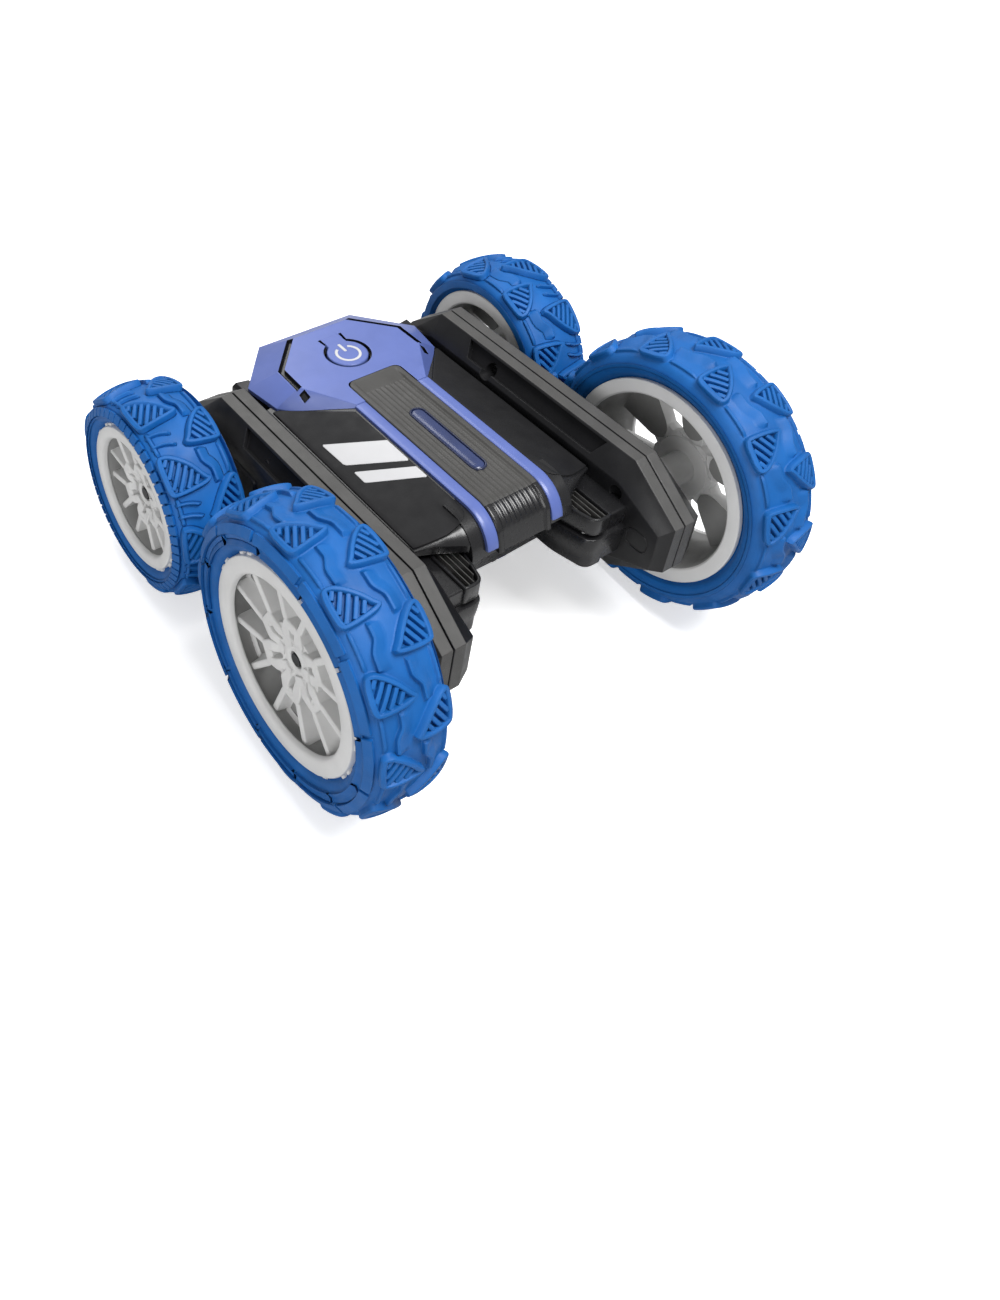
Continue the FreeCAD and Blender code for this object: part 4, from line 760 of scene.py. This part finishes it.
def arm_plan(drop, trim):
    """The arm's side outline in (y, z)."""
    shoulder, tip, rump, end = -44.7 + 0.4 * trim, -62.9 + trim, 39.9 - 0.4 * trim, 54 - trim
    top, tip_half, end_half = 20.1 - drop, 8 - 0.25 * drop, 9 - 0.25 * drop
    return [(shoulder, top), (tip, tip_half), (tip, -tip_half), (shoulder, -top), (rump, -top), (end, -end_half),
            (end, end_half), (rump, top)]


SEAM_X = 40.9
POSTS = ((-43.8, 9.9), (-43.8, -9.9), (13.5, 14.8), (13.5, -14.8))


def arm_half(side, sign, outward):
    """Half of an arm's case, with a grey strip round its edge, long recesses and sunk screw holes."""
    way = 1 if outward else -1
    name = f"{'outer' if outward else 'inner'}_case"
    stations = [(0.1, 0.25, 0.25), (0.3, 0.0, 0.0), (3.85, 0.0, 0.0), (4.0, 0.12, 0.12),
                (8.0, 6.5, 1.95), (8.1, 6.75, 2.2)]
    parts = Parts()
    loops = []
    for step, drop, trim in stations:
        loops.append([(sign * (SEAM_X + way * step), y, z) for y, z in arm_plan(drop, trim)])
    parts.loops(loops)
    count = 8
    for index in range(len(parts.faces)):
        if count <= index < 2 * count:
            parts.looks[index] = 1
    options = dict(body="car_body", slot="black_plastic", replaces=(f"{name}_{side}",), bevel=0.35, segments=2)
    case = parts.make(f"{name}_moulded_{side}", ["black_plastic", "strip_grey"], **options)
    cutters = []
    for flip in (1, -1):
        # the long recess in the slope between the strip and the face
        def on_slope(y, share, depth):
            x = 4.0 + 4.1 * share - depth * 0.84
            z = 20.1 - 6.6 * share - depth * 0.53
            return sign * (SEAM_X + way * x), y, flip * z

        tool = Parts()
        plan = [(25.0, 0.10), (22.6, 0.78), (-31.4, 0.78), (-34.0, 0.10)]
        tool.loops([[on_slope(y, s, d) for y, s in plan] for d in (-1.5, 1.7)])
        cutters.append(tool)
    if not outward:
        for y, z in POSTS:
            tool = Parts()
            ring = lambda x, rr: [(sign * x, p[0], p[1]) for p in arc(y, z, rr, 0, 345, 23)]
            tool.loops([ring(31.5, 2.8), ring(32.9, 2.2), ring(38.6, 2.1)])
            cutters.append(tool)
    carve(case, cutters)
    if not outward:
        screws = Parts()
        crosses = []
        for y, z in POSTS:
            ring = lambda x, rr: [(sign * x, p[0], p[1]) for p in arc(y, z, rr, 0, 345, 23)]
            screws.loops([ring(37.2, 0.8), ring(37.35, 1.3), ring(37.8, 1.65), ring(38.5, 1.7), ring(38.6, 0.9),
                          ring(46.0, 0.9)])
            for wide, tall in ((1.1, 0.22), (0.22, 1.1)):
                tool = Parts()
                tool.loops([[(sign * x, y + u * wide, z + v * tall) for u, v in ((-1, -1), (1, -1), (1, 1), (-1, 1))]
                            for x in (36.8, 37.9)])
                crosses.append(tool)
        heads = screws.make(f"case_screws_sunk_{side}", "dark_steel", slot="steel",
                            replaces=("case_screws",) if sign > 0 else ())
        carve(heads, crosses)
    if outward:
        tubes = Parts()
        for y, z in ((-AXLE_Y, 0.0), (AXLE_Y, REAR_Z)):
            for start, end, r in ((48.2, 49.4, 9.2), (49.2, 53.0, 4.4)):
                ring = lambda x, rr: [(sign * x, p[0], p[1]) for p in arc(y, z, rr, 0, 352.5, 47)]
                tubes.loops([ring(start, r + 0.5), ring(end - 0.4, r), ring(end, r - 0.4)])
        for y in (-22.0, 0.0, 22.0):
            plan = rounded([(y - 7.5, -8.5), (y + 7.5, -8.5), (y + 7.5, 8.5), (y - 7.5, 8.5)], 1.6)
            tubes.loops([[(sign * x, v.x, v.y) for v in inset([Vector(p) for p in plan], d)]
                         for x, d in ((48.6, -0.4), (49.5, 0.0), (49.75, 0.3))])
        tubes.make(f"outer_case_bosses_{side}", "black_plastic", smooth=30)


def motor_house(side, sign):
    """The motor's housing on the inside of an arm: a broad lower box, and a smaller one with a framed vent."""
    y_mid = -AXLE_Y
    front, back = y_mid - 10.4, y_mid + 10.4
    inner, outer, frame_x = 18.5, 33.6, 26.4

    def outline(reach, grow):
        corners = [(reach, front - grow), (inner + 1.7 - grow, front - grow), (inner - 1.1 - grow, -38.0),
                   (inner - 1.1 - grow, back + grow), (reach, back + grow)]
        return rounded(corners, [1.2 if reach < outer else 0, 3.4, 3.0, 2.2, 0], 6)

    def ring(z, reach, grow):
        return [(sign * x, y, z) for x, y in outline(reach, grow)]

    parts = Parts()
    parts.loops([ring(z, outer, grow) for z, grow in (
        (-8.4, -0.8), (-7.8, -0.1), (-2.4, 0.5), (1.4, 0.7), (1.9, 0.5), (2.0, 0.0), (2.2, -0.9), (3.2, -0.9))])
    block = [(outer, front + 0.8), (frame_x - 0.8, front + 0.8), (frame_x - 0.8, back), (outer, back)]
    parts.loops([[(sign * x, y + (d if y < y_mid else -d), z) for x, y in block]
                 for z, d in ((3.0, 0), (7.9, 0), (8.3, 0.4))])
    wall = resampled([Vector(p) for p in outline(frame_x, 0.1)], 96)
    for flip, floor_z in ((1, 7.2), (-1, 8.6)):
        levels = ((3.3, 0.2), (3.6, 0.0), (8.85, 0.0), (9.2, 0.3), (9.2, 0.8), (8.9, 1.0), (floor_z, 1.05))
        start = len(parts.faces)
        parts.loops([[(sign * p.x, p.y, flip * z) for p in inset(wall, d)] for z, d in levels])
        # the vent's inner wall and floor are painted near-black as shade; the bottom cap stays gloss black
        for index in range(start + 96 * 5, len(parts.faces)):
            parts.looks[index] = 1
        parts.looks[start + 96 * 6] = 0
    parts.make(f"motor_house_{side}", ["gloss_black", "painted_hollow_shade"], smooth=35)
    slats = Parts()
    for flip in (1, -1):
        for k in range(4):
            x = inner + 0.9 + k * 1.6
            start = front + (6.6, 3.2, 1.0, 0.8)[k]
            slats.loops([[(sign * (x + dx), y, flip * z) for dx, z in (
                (-0.24, 7.0), (-0.13, 9.1), (0.13, 9.1), (0.24, 7.0))] for y in (start, back - 0.7)])
    slats.make(f"motor_vent_{side}", "strip_grey", smooth=35)


def arm_details(side, sign):
    """The lug behind, the pads towards the body and the faint oval near the tip."""
    parts = Parts()
    for flip in (1, -1):
        corners = [(33.6, 42.0), (33.6, 52.2), (28.0, 51.8), (27.2, 49.0), (31.2, 43.4)]
        low, high = (0.0, 13.0) if flip > 0 else (-13.0, 0.0)
        ring = lambda z, d: [(sign * p.x, p.y, z) for p in inset([Vector(c) for c in corners], d)]
        parts.loops([ring(low, 0), ring(high - 1.4 if flip > 0 else high, 0), ring(high, 1.2 if flip > 0 else 0)]
                    if flip > 0 else [ring(low, 1.2), ring(low + 1.4, 0), ring(high, 0)])
    plan = [(-14, -10), (20, -10), (20, 10), (-14, 10)]
    parts.loops([[(sign * x, y, z) for y, z in plan] for x in (31.4, 33.4)])
    parts.make(f"arm_lugs_{side}", "black_plastic", bevel=0.4, smooth=30)
    # the oval is a fine raised line on the inner face
    outline = resampled([Vector(p) for p in rounded([(-58.6, -3.2), (-50.6, -3.2), (-50.6, 3.2), (-58.6, 3.2)],
                                                    3.1, 8)], 48)
    line = Parts()
    loops = [[(sign * x, p.x, p.y) for p in inset(outline, d)] for x, d in
             ((32.9, -0.1), (32.6, 0.05), (32.6, 0.25), (32.9, 0.4))]
    line.loops(loops + loops[:1], cap_start=False, cap_end=False)
    line.make(f"arm_oval_{side}", "black_plastic", smooth=30)


for side, sign in (("right", 1), ("left", -1)):
    arm_half(side, sign, False)
    arm_half(side, sign, True)
    motor_house(side, sign)
    arm_details(side, sign)

# ---------------------------------------------------------------- body

DECK = 17.9
TRIM_TOP = 19.1
HEAD_EDGE = 12.6
HEAD = [(13.4, 15.6), (29.7, 33.6), (31.6, 46.2), (17.4, 62.4)]
PLATEAU = [(12.8, 17.5), (22.3, 33.0), (22.1, 42.7), (11.1, 54.5)]
NOSE_Y, NOSE_Z, NOSE_R = -32.3, 7.9, 10.0
BUTTON_Y = 39.6


def whole(half):
    """A symmetric outline from its right-hand half."""
    return half + [(-x, y) for x, y in reversed(half)]


def along_deck(s):
    """A place and its outward normal on the deck's centreline. s is 0 at the nose's bend, positive backward."""
    if s >= 0:
        return (NOSE_Y + s, DECK), (0.0, 1.0)
    bend = NOSE_R * math.pi / 2
    if s >= -bend:
        a = math.pi / 2 - s / NOSE_R
        return (NOSE_Y + NOSE_R * math.cos(a), NOSE_Z + NOSE_R * math.sin(a)), (math.cos(a), math.sin(a))
    return (NOSE_Y - NOSE_R, NOSE_Z + s + bend), (-1.0, 0.0)


def band(parts, xs, heights, stations, look=0, base=-0.4):
    """A strip along the deck and round the nose. heights gives its height over the deck at (x, s)."""
    rows = []
    for s in stations:
        (y, z), (ny, nz) = along_deck(s)
        top = [(x, y + ny * heights(x, s), z + nz * heights(x, s)) for x in xs]
        under = [(x, y + ny * base, z + nz * base) for x in (xs[-1], xs[0])]
        rows.append(top + under)
    parts.loops(rows, look)


def spread(low, high, step):
    count = max(1, round((high - low) / step))
    return [low + (high - low) * k / count for k in range(count + 1)]


NOSE_END = -NOSE_R * math.pi / 2
STRIPE_END = -13.6
CHIN_Y, CHIN_DECK_Y = -36.0, -27.0


def trim(label, place, node, with_button):
    """The coloured head cap with its slots, running into two stripes down the nose."""
    parts = Parts()
    edge, plateau = whole(HEAD), whole(PLATEAU)
    low = HEAD_EDGE - 0.2
    loops = [[(x, y, low) for x, y in edge], [(x, y, HEAD_EDGE + 1.2) for x, y in edge],
             [(x, y, TRIM_TOP) for x, y in plateau]]
    parts.loops(loops)
    cap = parts.make(f"{label}_cap", "blue_trim", slot="blue_trim", replaces=(node,), place=place, bevel=0.7,
                     segments=3, smooth=30)
    cutters = []

    def cutter(outline, low_z=10.0, high_z=24.0):
        tool = Parts()
        tool.loops([[place @ Vector((x, y, z)) for x, y in outline] for z in (low_z, high_z)])
        cutters.append(tool)

    # the spine's bay, open towards the nose
    bay = rounded([(-9.6, 10.0), (9.6, 10.0), (9.6, 27.3), (-9.6, 27.3)], [0, 0, 2.6, 2.6], 6)
    cutter(bay, 13.0)
    for s in (1, -1):
        slot = [(9.9, 54.6), (11.6, 55.5), (23.0, 43.2), (23.3, 32.6), (21.5, 32.6), (21.2, 42.4)]
        cutter([(s * x, y) for x, y in slot], 15.4)
        cutter([(s * x, y) for x, y in ((21.5, 31.4), (23.3, 31.4), (23.2, 28.6), (21.2, 28.6))], 14.4)
    if with_button:
        hole = arc(0, BUTTON_Y, 7.35, -238, 58, 40) + [(4.3, 49.4), (3.35, 49.4), (3.35, 47.0), (-3.35, 47.0),
                                                       (-3.35, 49.4), (-4.3, 49.4)]
        cutter(hole, 15.2)
    carve(cap, cutters)
    stripes = Parts()
    xs_right = [9.6, 10.0, 10.9, 12.1, 13.0, 13.4]

    def crown(x, s):
        x = abs(x)
        return 1.2 - 0.25 * max(0, (10.0 - x) / 0.4) - 0.25 * max(0, (x - 13.0) / 0.4)

    stations = spread(STRIPE_END, 0, 0.8) + spread(2, 49.4, 6)
    if not with_button:
        stations = spread(CHIN_DECK_Y + 0.7 - NOSE_Y, 49.4, 6)
    band(stripes, xs_right, crown, stations)
    band(stripes, [-x for x in reversed(xs_right)], crown, stations)
    stripes.make(f"{label}_stripes", "blue_trim", slot="blue_trim", place=place, smooth=40)


def spine(label, place, node, with_nose):
    """The dark cover between the stripes: a smooth border, a sunk ribbed field and a rounded nose."""
    parts = Parts()
    end_s = 27.0 - NOSE_Y
    facet = NOSE_END + 6.1
    field_end = 20.6 - NOSE_Y
    ribs, half = 9, 7.7

    def height(x, s):
        border = 1.35
        edge = max(0.0, (abs(x) - 9.0) / 0.4)
        lift = border - 0.3 * edge
        rear = min(1.0, max(0.0, (s - field_end) / 5.6))
        inside = min(1.0, max(0.0, (half - abs(x)) / 0.45))
        before = min(1.0, max(0.0, (field_end - s) / 0.35))
        sunk = 0.62 * inside * (1 - rear)
        wave = 0.5 + 0.5 * math.cos(2 * math.pi * ribs * (x + half) / (2 * half))
        fade = min(1.0, max(0.0, (s - facet) / 1.2))
        rib = 0.3 * (wave ** 0.7) * inside * before * fade
        lift -= sunk if s < field_end + 6 else 0.0
        if s < facet:
            lift -= 0.45 * (1 - ((s - (facet + NOSE_END) / 2) / ((facet - NOSE_END) / 2)) ** 2)
        return lift + rib

    xs = spread(-9.4, 9.4, 0.17)
    stations = spread(NOSE_END, -0.4, 0.45) if with_nose else [CHIN_DECK_Y + 0.75 - NOSE_Y]
    stations += (spread(stations[-1] + 0.8, field_end - 0.6, 2.2)
                 + [field_end - 0.35, field_end - 0.1, field_end + 0.1] + spread(field_end + 0.7, end_s - 0.3, 0.6)
                 + [end_s])
    band(parts, xs, height, stations)
    across = len(xs) + 2
    for index in range(len(parts.faces)):
        level = min(index // across, len(stations) - 1)
        if stations[level] < -3.0:
            parts.looks[index] = 1
    cover = parts.make(f"{label}_ribbed", ["dark_grey_plastic", "gloss_black"], slot="dark_grey_plastic",
                       replaces=(node,), place=place, smooth=48)
    # rounded rear corners and the lens slot
    cutters = []
    for s in (1, -1):
        tool = Parts()
        corner = [(s * 9.6, 24.4), (s * 9.6, 27.3), (s * 6.7, 27.3)]
        inner = [(s * (6.8 + 2.6 * math.sin(a)), 24.4 + 2.6 * math.cos(a)) for a in
                 (math.pi / 2 * k / 6 for k in range(7))]
        tool.loops([[place @ Vector((x, y, z)) for x, y in corner + inner[:-1]] for z in (17.0, 22.0)])
        cutters.append(tool)
    tool = Parts()
    tool.loops([[place @ Vector((x, y, z)) for x, y in stadium(0.35)] for z in (18.0, 22.0)])
    cutters.append(tool)
    carve(cover, cutters)


LENS = (2.25, -23.4, 7.0)


def stadium(grow):
    half, front, back = LENS[0] + grow, LENS[1] - grow, LENS[2] + grow
    return arc(0, back - half, half, 0, 180, 14) + arc(0, front + half, half, 180, 360, 14)


def lens(label, place, node):
    parts = Parts()
    rings = [(0.0, 17.6), (0.0, 18.75), (0.25, 19.05), (0.8, 19.2), (1.5, 19.25)]
    parts.loops([[(x, y, z) for x, y in stadium(-0.12 - d)] for d, z in rings])
    parts.make(f"{label}_body", "blue_lens", slot="blue_lens", replaces=(node,), place=place, smooth=50)
    edge = Parts()
    loops = [[(x, y, z) for x, y in stadium(d)] for d, z in
             ((-0.15, 18.2), (-0.1, 19.22), (0.15, 19.3), (0.38, 19.12), (0.4, 18.2))]
    edge.loops(loops + loops[:1], cap_start=False, cap_end=False)
    edge.make(f"{label}_edge", "lens_edge", slot="blue_lens", place=place, smooth=40)


def between(value, pairs):
    """Straight-line interpolation in (from, to) pairs."""
    for (a, fa), (b, fb) in zip(pairs, pairs[1:]):
        if value <= b:
            return fa + (fb - fa) * max(0.0, (value - a) / (b - a))
    return pairs[-1][1]


def panel_z(x):
    return DECK + (12.3 - DECK) / (31.4 - 13.4) * (x - 13.4)


def side_panels(label, place, with_nose):
    """Matt panels on the sloping sides of the deck, with a round front corner."""
    front = -36.0 if with_nose else -27.0
    inner = [(front, 21.0), (front + 0.3, 17.6), (front + 1.2, 15.9), (front + 2.8, 14.6), (front + 5.5, 14.15),
             (16.0, 14.15), (32.9, 29.3), (33.4, 30.5)]
    outer = [(front, 22.5), (front + 1.4, 27.4), (front + 2.6, 31.0), (33.4, 31.0)]
    if not with_nose:
        outer = [(front, 22.5), (front + 1.0, 27.4), (front + 2.4, 31.0), (33.4, 31.0)]
    rows = [front, front + 0.15, front + 0.35, front + 0.7, front + 1.2, front + 2.0, front + 2.8, front + 4,
            front + 5.5, front + 7.5, front + 9]
    rows += spread(front + 11, 15.9, 6) + spread(16.6, 32.9, 1.6) + [33.4]
    for s, side in ((1, "right"), (-1, "left")):

        def height(x, y):
            z = panel_z(x) + 0.55
            if with_nose and x < 18.6:
                near = min(1.0, max(0.0, (-24.0 - y) / 6.0)) * min(1.0, max(0.0, (18.6 - x) / 3.0))
                z += (DECK + 0.25 - z) * near
            return z

        parts = Parts()
        loops = []
        for y in rows:
            low, high = between(y, inner), between(y, outer)
            xs = [low + (high - low) * k / 24 for k in range(25)]
            ring = [(s * x, y, height(x, y) - (0.15 if k in (0, 24) else 0)) for k, x in enumerate(xs)]
            ring += [(s * high, y, panel_z(high) - 0.4), (s * low, y, panel_z(low) - 0.4)]
            loops.append(ring)
        parts.loops(loops)
        parts.make(f"{label}_panel_{side}", "matte_black", place=place, smooth=25)
        if s > 0:
            continue
        bars = Parts()
        for plan in (((14.3, 0.7), (28.1, 12.9), (27.8, 2.0), (14.3, -9.6)),
                     ((14.3, -12.5), (27.4, -1.7), (27.4, -7.0), (14.3, -17.6))):
            line = resampled([Vector(p) for p in plan], 48)
            bars.loops([[(s * p.x, p.y, panel_z(p.x) + h) for p in line] for h in (0.45, 0.63)])
        bars.make(f"{label}_bars_{side}", "white_print", place=place, smooth=25)


def shoulders(label):
    """The glossy front corners of the deck, which bend down over the motor housings."""
    parts = Parts()
    edge = [(16.8, -41.0), (17.8, -40.6), (26.0, -36.2), (31.3, -34.0)]
    bend = [(16.8, -35.0), (18.0, -35.3), (22.0, -35.4), (26.0, -34.6), (31.3, -33.4)]
    drop = [(16.8, 4.4), (17.8, 3.5), (26.0, 0.7), (31.3, 0.3)]
    for s in (1, -1):
        loops = []
        for x in spread(16.8, 31.3, 1.0):
            top, flat_end, front, fall = panel_z(x), between(x, bend), between(x, edge), between(x, drop)
            ring = [(s * x, -31.0, top)]
            for k in range(9):
                u = k / 8
                ring.append((s * x, flat_end + (front - flat_end) * u, top - fall * u * u))
            ring += [(s * x, front + 0.2, 10.4), (s * x, front + 1.2, 9.7), (s * x, -31.0, 9.7)]
            loops.append(ring)
        parts.loops(loops)
    parts.make(f"{label}_shoulders", "gloss_black", bevel=0.35, smooth=40)


def button():
    """The push cap with its tongue, and the white symbol printed on it."""
    parts = Parts()
    outline = arc(0, BUTTON_Y, 6.35, -237, 57, 48) + [(3.3, 47.5), (3.3, 49.35), (-3.3, 49.35), (-3.3, 47.5)]
    line = [Vector(p) for p in outline]
    parts.loops([[(p.x, p.y, z) for p in inset(line, d)] for d, z in
                 ((0.0, 17.2), (0.0, TRIM_TOP - 0.25), (0.25, TRIM_TOP + 0.02))])
    parts.make("power_button_cap", "blue_button", body="power_button", slot="blue_button",
               replaces=("power_button",), smooth=30)
    icon = Parts()
    outer, inner = arc(0, BUTTON_Y - 0.3, 4.1, -240, 60, 48), arc(0, BUTTON_Y - 0.3, 3.2, -240, 60, 48)
    rows = []
    for a, b in zip(outer, inner):
        rows.append([(a[0], a[1], TRIM_TOP), (a[0], a[1], TRIM_TOP + 0.08), (b[0], b[1], TRIM_TOP + 0.08),
                     (b[0], b[1], TRIM_TOP)])
    icon.loops(rows)
    bar = rounded([(-0.5, BUTTON_Y + 0.9), (0.5, BUTTON_Y + 0.9), (0.5, BUTTON_Y + 5.0), (-0.5, BUTTON_Y + 5.0)],
                  0.4)
    icon.slab(bar, TRIM_TOP, TRIM_TOP + 0.08)
    icon.make("power_button_symbol", "white_print", body="power_button", slot="blue_button", smooth=25)


for label, place, cover in (("top", Matrix(), "spine_cover"), ("bottom", FLIP, "battery_door")):
    upper = label == "top"
    trim(f"{label}_trim", place, f"{label}_trim", upper)
    spine(cover, place, cover, upper)
    lens(f"{label}_lens", place, f"{label}_lens")
    side_panels(f"{label}_side", place, upper)
shoulders("top")
button()
for node in ("body_top_shell", "body_bottom_shell"):
    mesh = frame["nodes"][node].data
    for index in range(len(mesh.materials)):
        mesh.materials[index] = LOOKS["gloss_black"]

# ---------------------------------------------------------------- floor, light and camera


def seen_or_cast(tree, shader, seen, cast):
    """White to the camera, dimmer as a source of bounced light."""
    path = tree.nodes.new("ShaderNodeLightPath")
    tint = tree.nodes.new("ShaderNodeMapRange")
    tint.inputs["To Min"].default_value = cast
    tint.inputs["To Max"].default_value = seen
    tree.links.new(path.outputs["Is Camera Ray"], tint.inputs["Value"])
    tree.links.new(tint.outputs["Result"], shader)


def floor():
    mesh = bpy.data.meshes.new("floor")
    mesh.from_pydata([(-4, -4, 0), (4, -4, 0), (4, 4, 0), (-4, 4, 0)], [], [(0, 1, 2, 3)])
    look = plastic("floor", (0.95, 0.95, 0.95), 0.85, grain=0.05, grain_size=1.5, vary=0.01, wear=0, shine=0.1)
    shader = look.node_tree.nodes["Principled BSDF"]
    for link in list(shader.inputs["Base Color"].links):
        look.node_tree.links.remove(link)
    seen_or_cast(look.node_tree, shader.inputs["Base Color"], 0.95, 0.45)
    shader.inputs["Emission Color"].default_value = (1.0, 1.0, 1.0, 1)
    seen_or_cast(look.node_tree, shader.inputs["Emission Strength"], 0.5, 0.0)
    mesh.materials.append(look)
    ground = bpy.data.objects.new("floor", mesh)
    bpy.context.scene.collection.objects.link(ground)


def area_light(name, place, aim, size, power):
    data = bpy.data.lights.new(name, "AREA")
    data.size = size
    data.energy = power
    lamp = bpy.data.objects.new(name, data)
    lamp.location = place
    lamp.rotation_euler = (Vector(aim) - Vector(place)).to_track_quat("-Z", "Y").to_euler()
    bpy.context.scene.collection.objects.link(lamp)


def lights():
    world = bpy.data.worlds.new("studio")
    world.use_nodes = True
    back = world.node_tree.nodes["Background"]
    back.inputs["Color"].default_value = (1.0, 1.0, 1.0, 1)
    seen_or_cast(world.node_tree, back.inputs["Strength"], 1.0, 0.38)
    bpy.context.scene.world = world
    area_light("key", (0.10, -0.25, 0.85), (0, 0, 0.03), 0.45, 9.0)
    area_light("fill", (-0.8, -0.45, 0.35), (0, 0, 0.03), 0.5, 3.6)
    area_light("back", (0.15, 0.7, 0.6), (0, 0, 0.03), 0.5, 3.0)


AZIMUTH, ELEVATION, ROLL = math.radians(-35.93), math.radians(41.08), math.radians(2.51)
EYE = (-186.9, -199.86, 234.96)
SHIFT = {"shift_x": 0.1486, "shift_y": -0.137}


def hold_shift(view):
    """The lens shift belongs to this one viewpoint: it falls to nothing when the camera is anywhere else."""
    here = view.location.x
    for path, value in SHIFT.items():
        curve = view.data.driver_add(path)
        for modifier in list(curve.modifiers):
            curve.modifiers.remove(modifier)
        curve.driver.type = "AVERAGE"
        variable = curve.driver.variables.new()
        variable.type = "TRANSFORMS"
        variable.targets[0].id = view
        variable.targets[0].transform_type = "LOC_X"
        steps = ((-0.003, 0.0), (-0.0015, value), (0.0015, value), (0.003, 0.0))
        curve.keyframe_points.add(len(steps))
        for point, (offset, output) in zip(curve.keyframe_points, steps):
            point.co = (here + offset, output)
            point.interpolation = "LINEAR"


def camera():
    data = bpy.data.cameras.new("camera")
    view = bpy.data.objects.new("camera", data)
    bpy.context.scene.collection.objects.link(view)
    outward = Vector((math.sin(AZIMUTH) * math.cos(ELEVATION), -math.cos(AZIMUTH) * math.cos(ELEVATION),
                      math.sin(ELEVATION)))
    across = Vector((math.cos(AZIMUTH), math.sin(AZIMUTH), 0))
    above = outward.cross(across)
    right = across * math.cos(ROLL) + above * math.sin(ROLL)
    upward = above * math.cos(ROLL) - across * math.sin(ROLL)
    axes = [TURN @ axis for axis in (right, upward, outward)]
    view.matrix_world = Matrix.Translation(LEVEL @ Vector(EYE)) @ Matrix(axes).transposed().to_4x4()
    data.sensor_width = 36
    data.lens = 33.76
    data.clip_start = 0.01
    data.clip_end = 50
    bpy.context.scene.camera = view
    bpy.context.view_layer.update()
    hold_shift(view)


floor()
lights()
camera()
bpy.context.scene.view_settings.view_transform = "Standard"
bpy.context.view_layer.update()
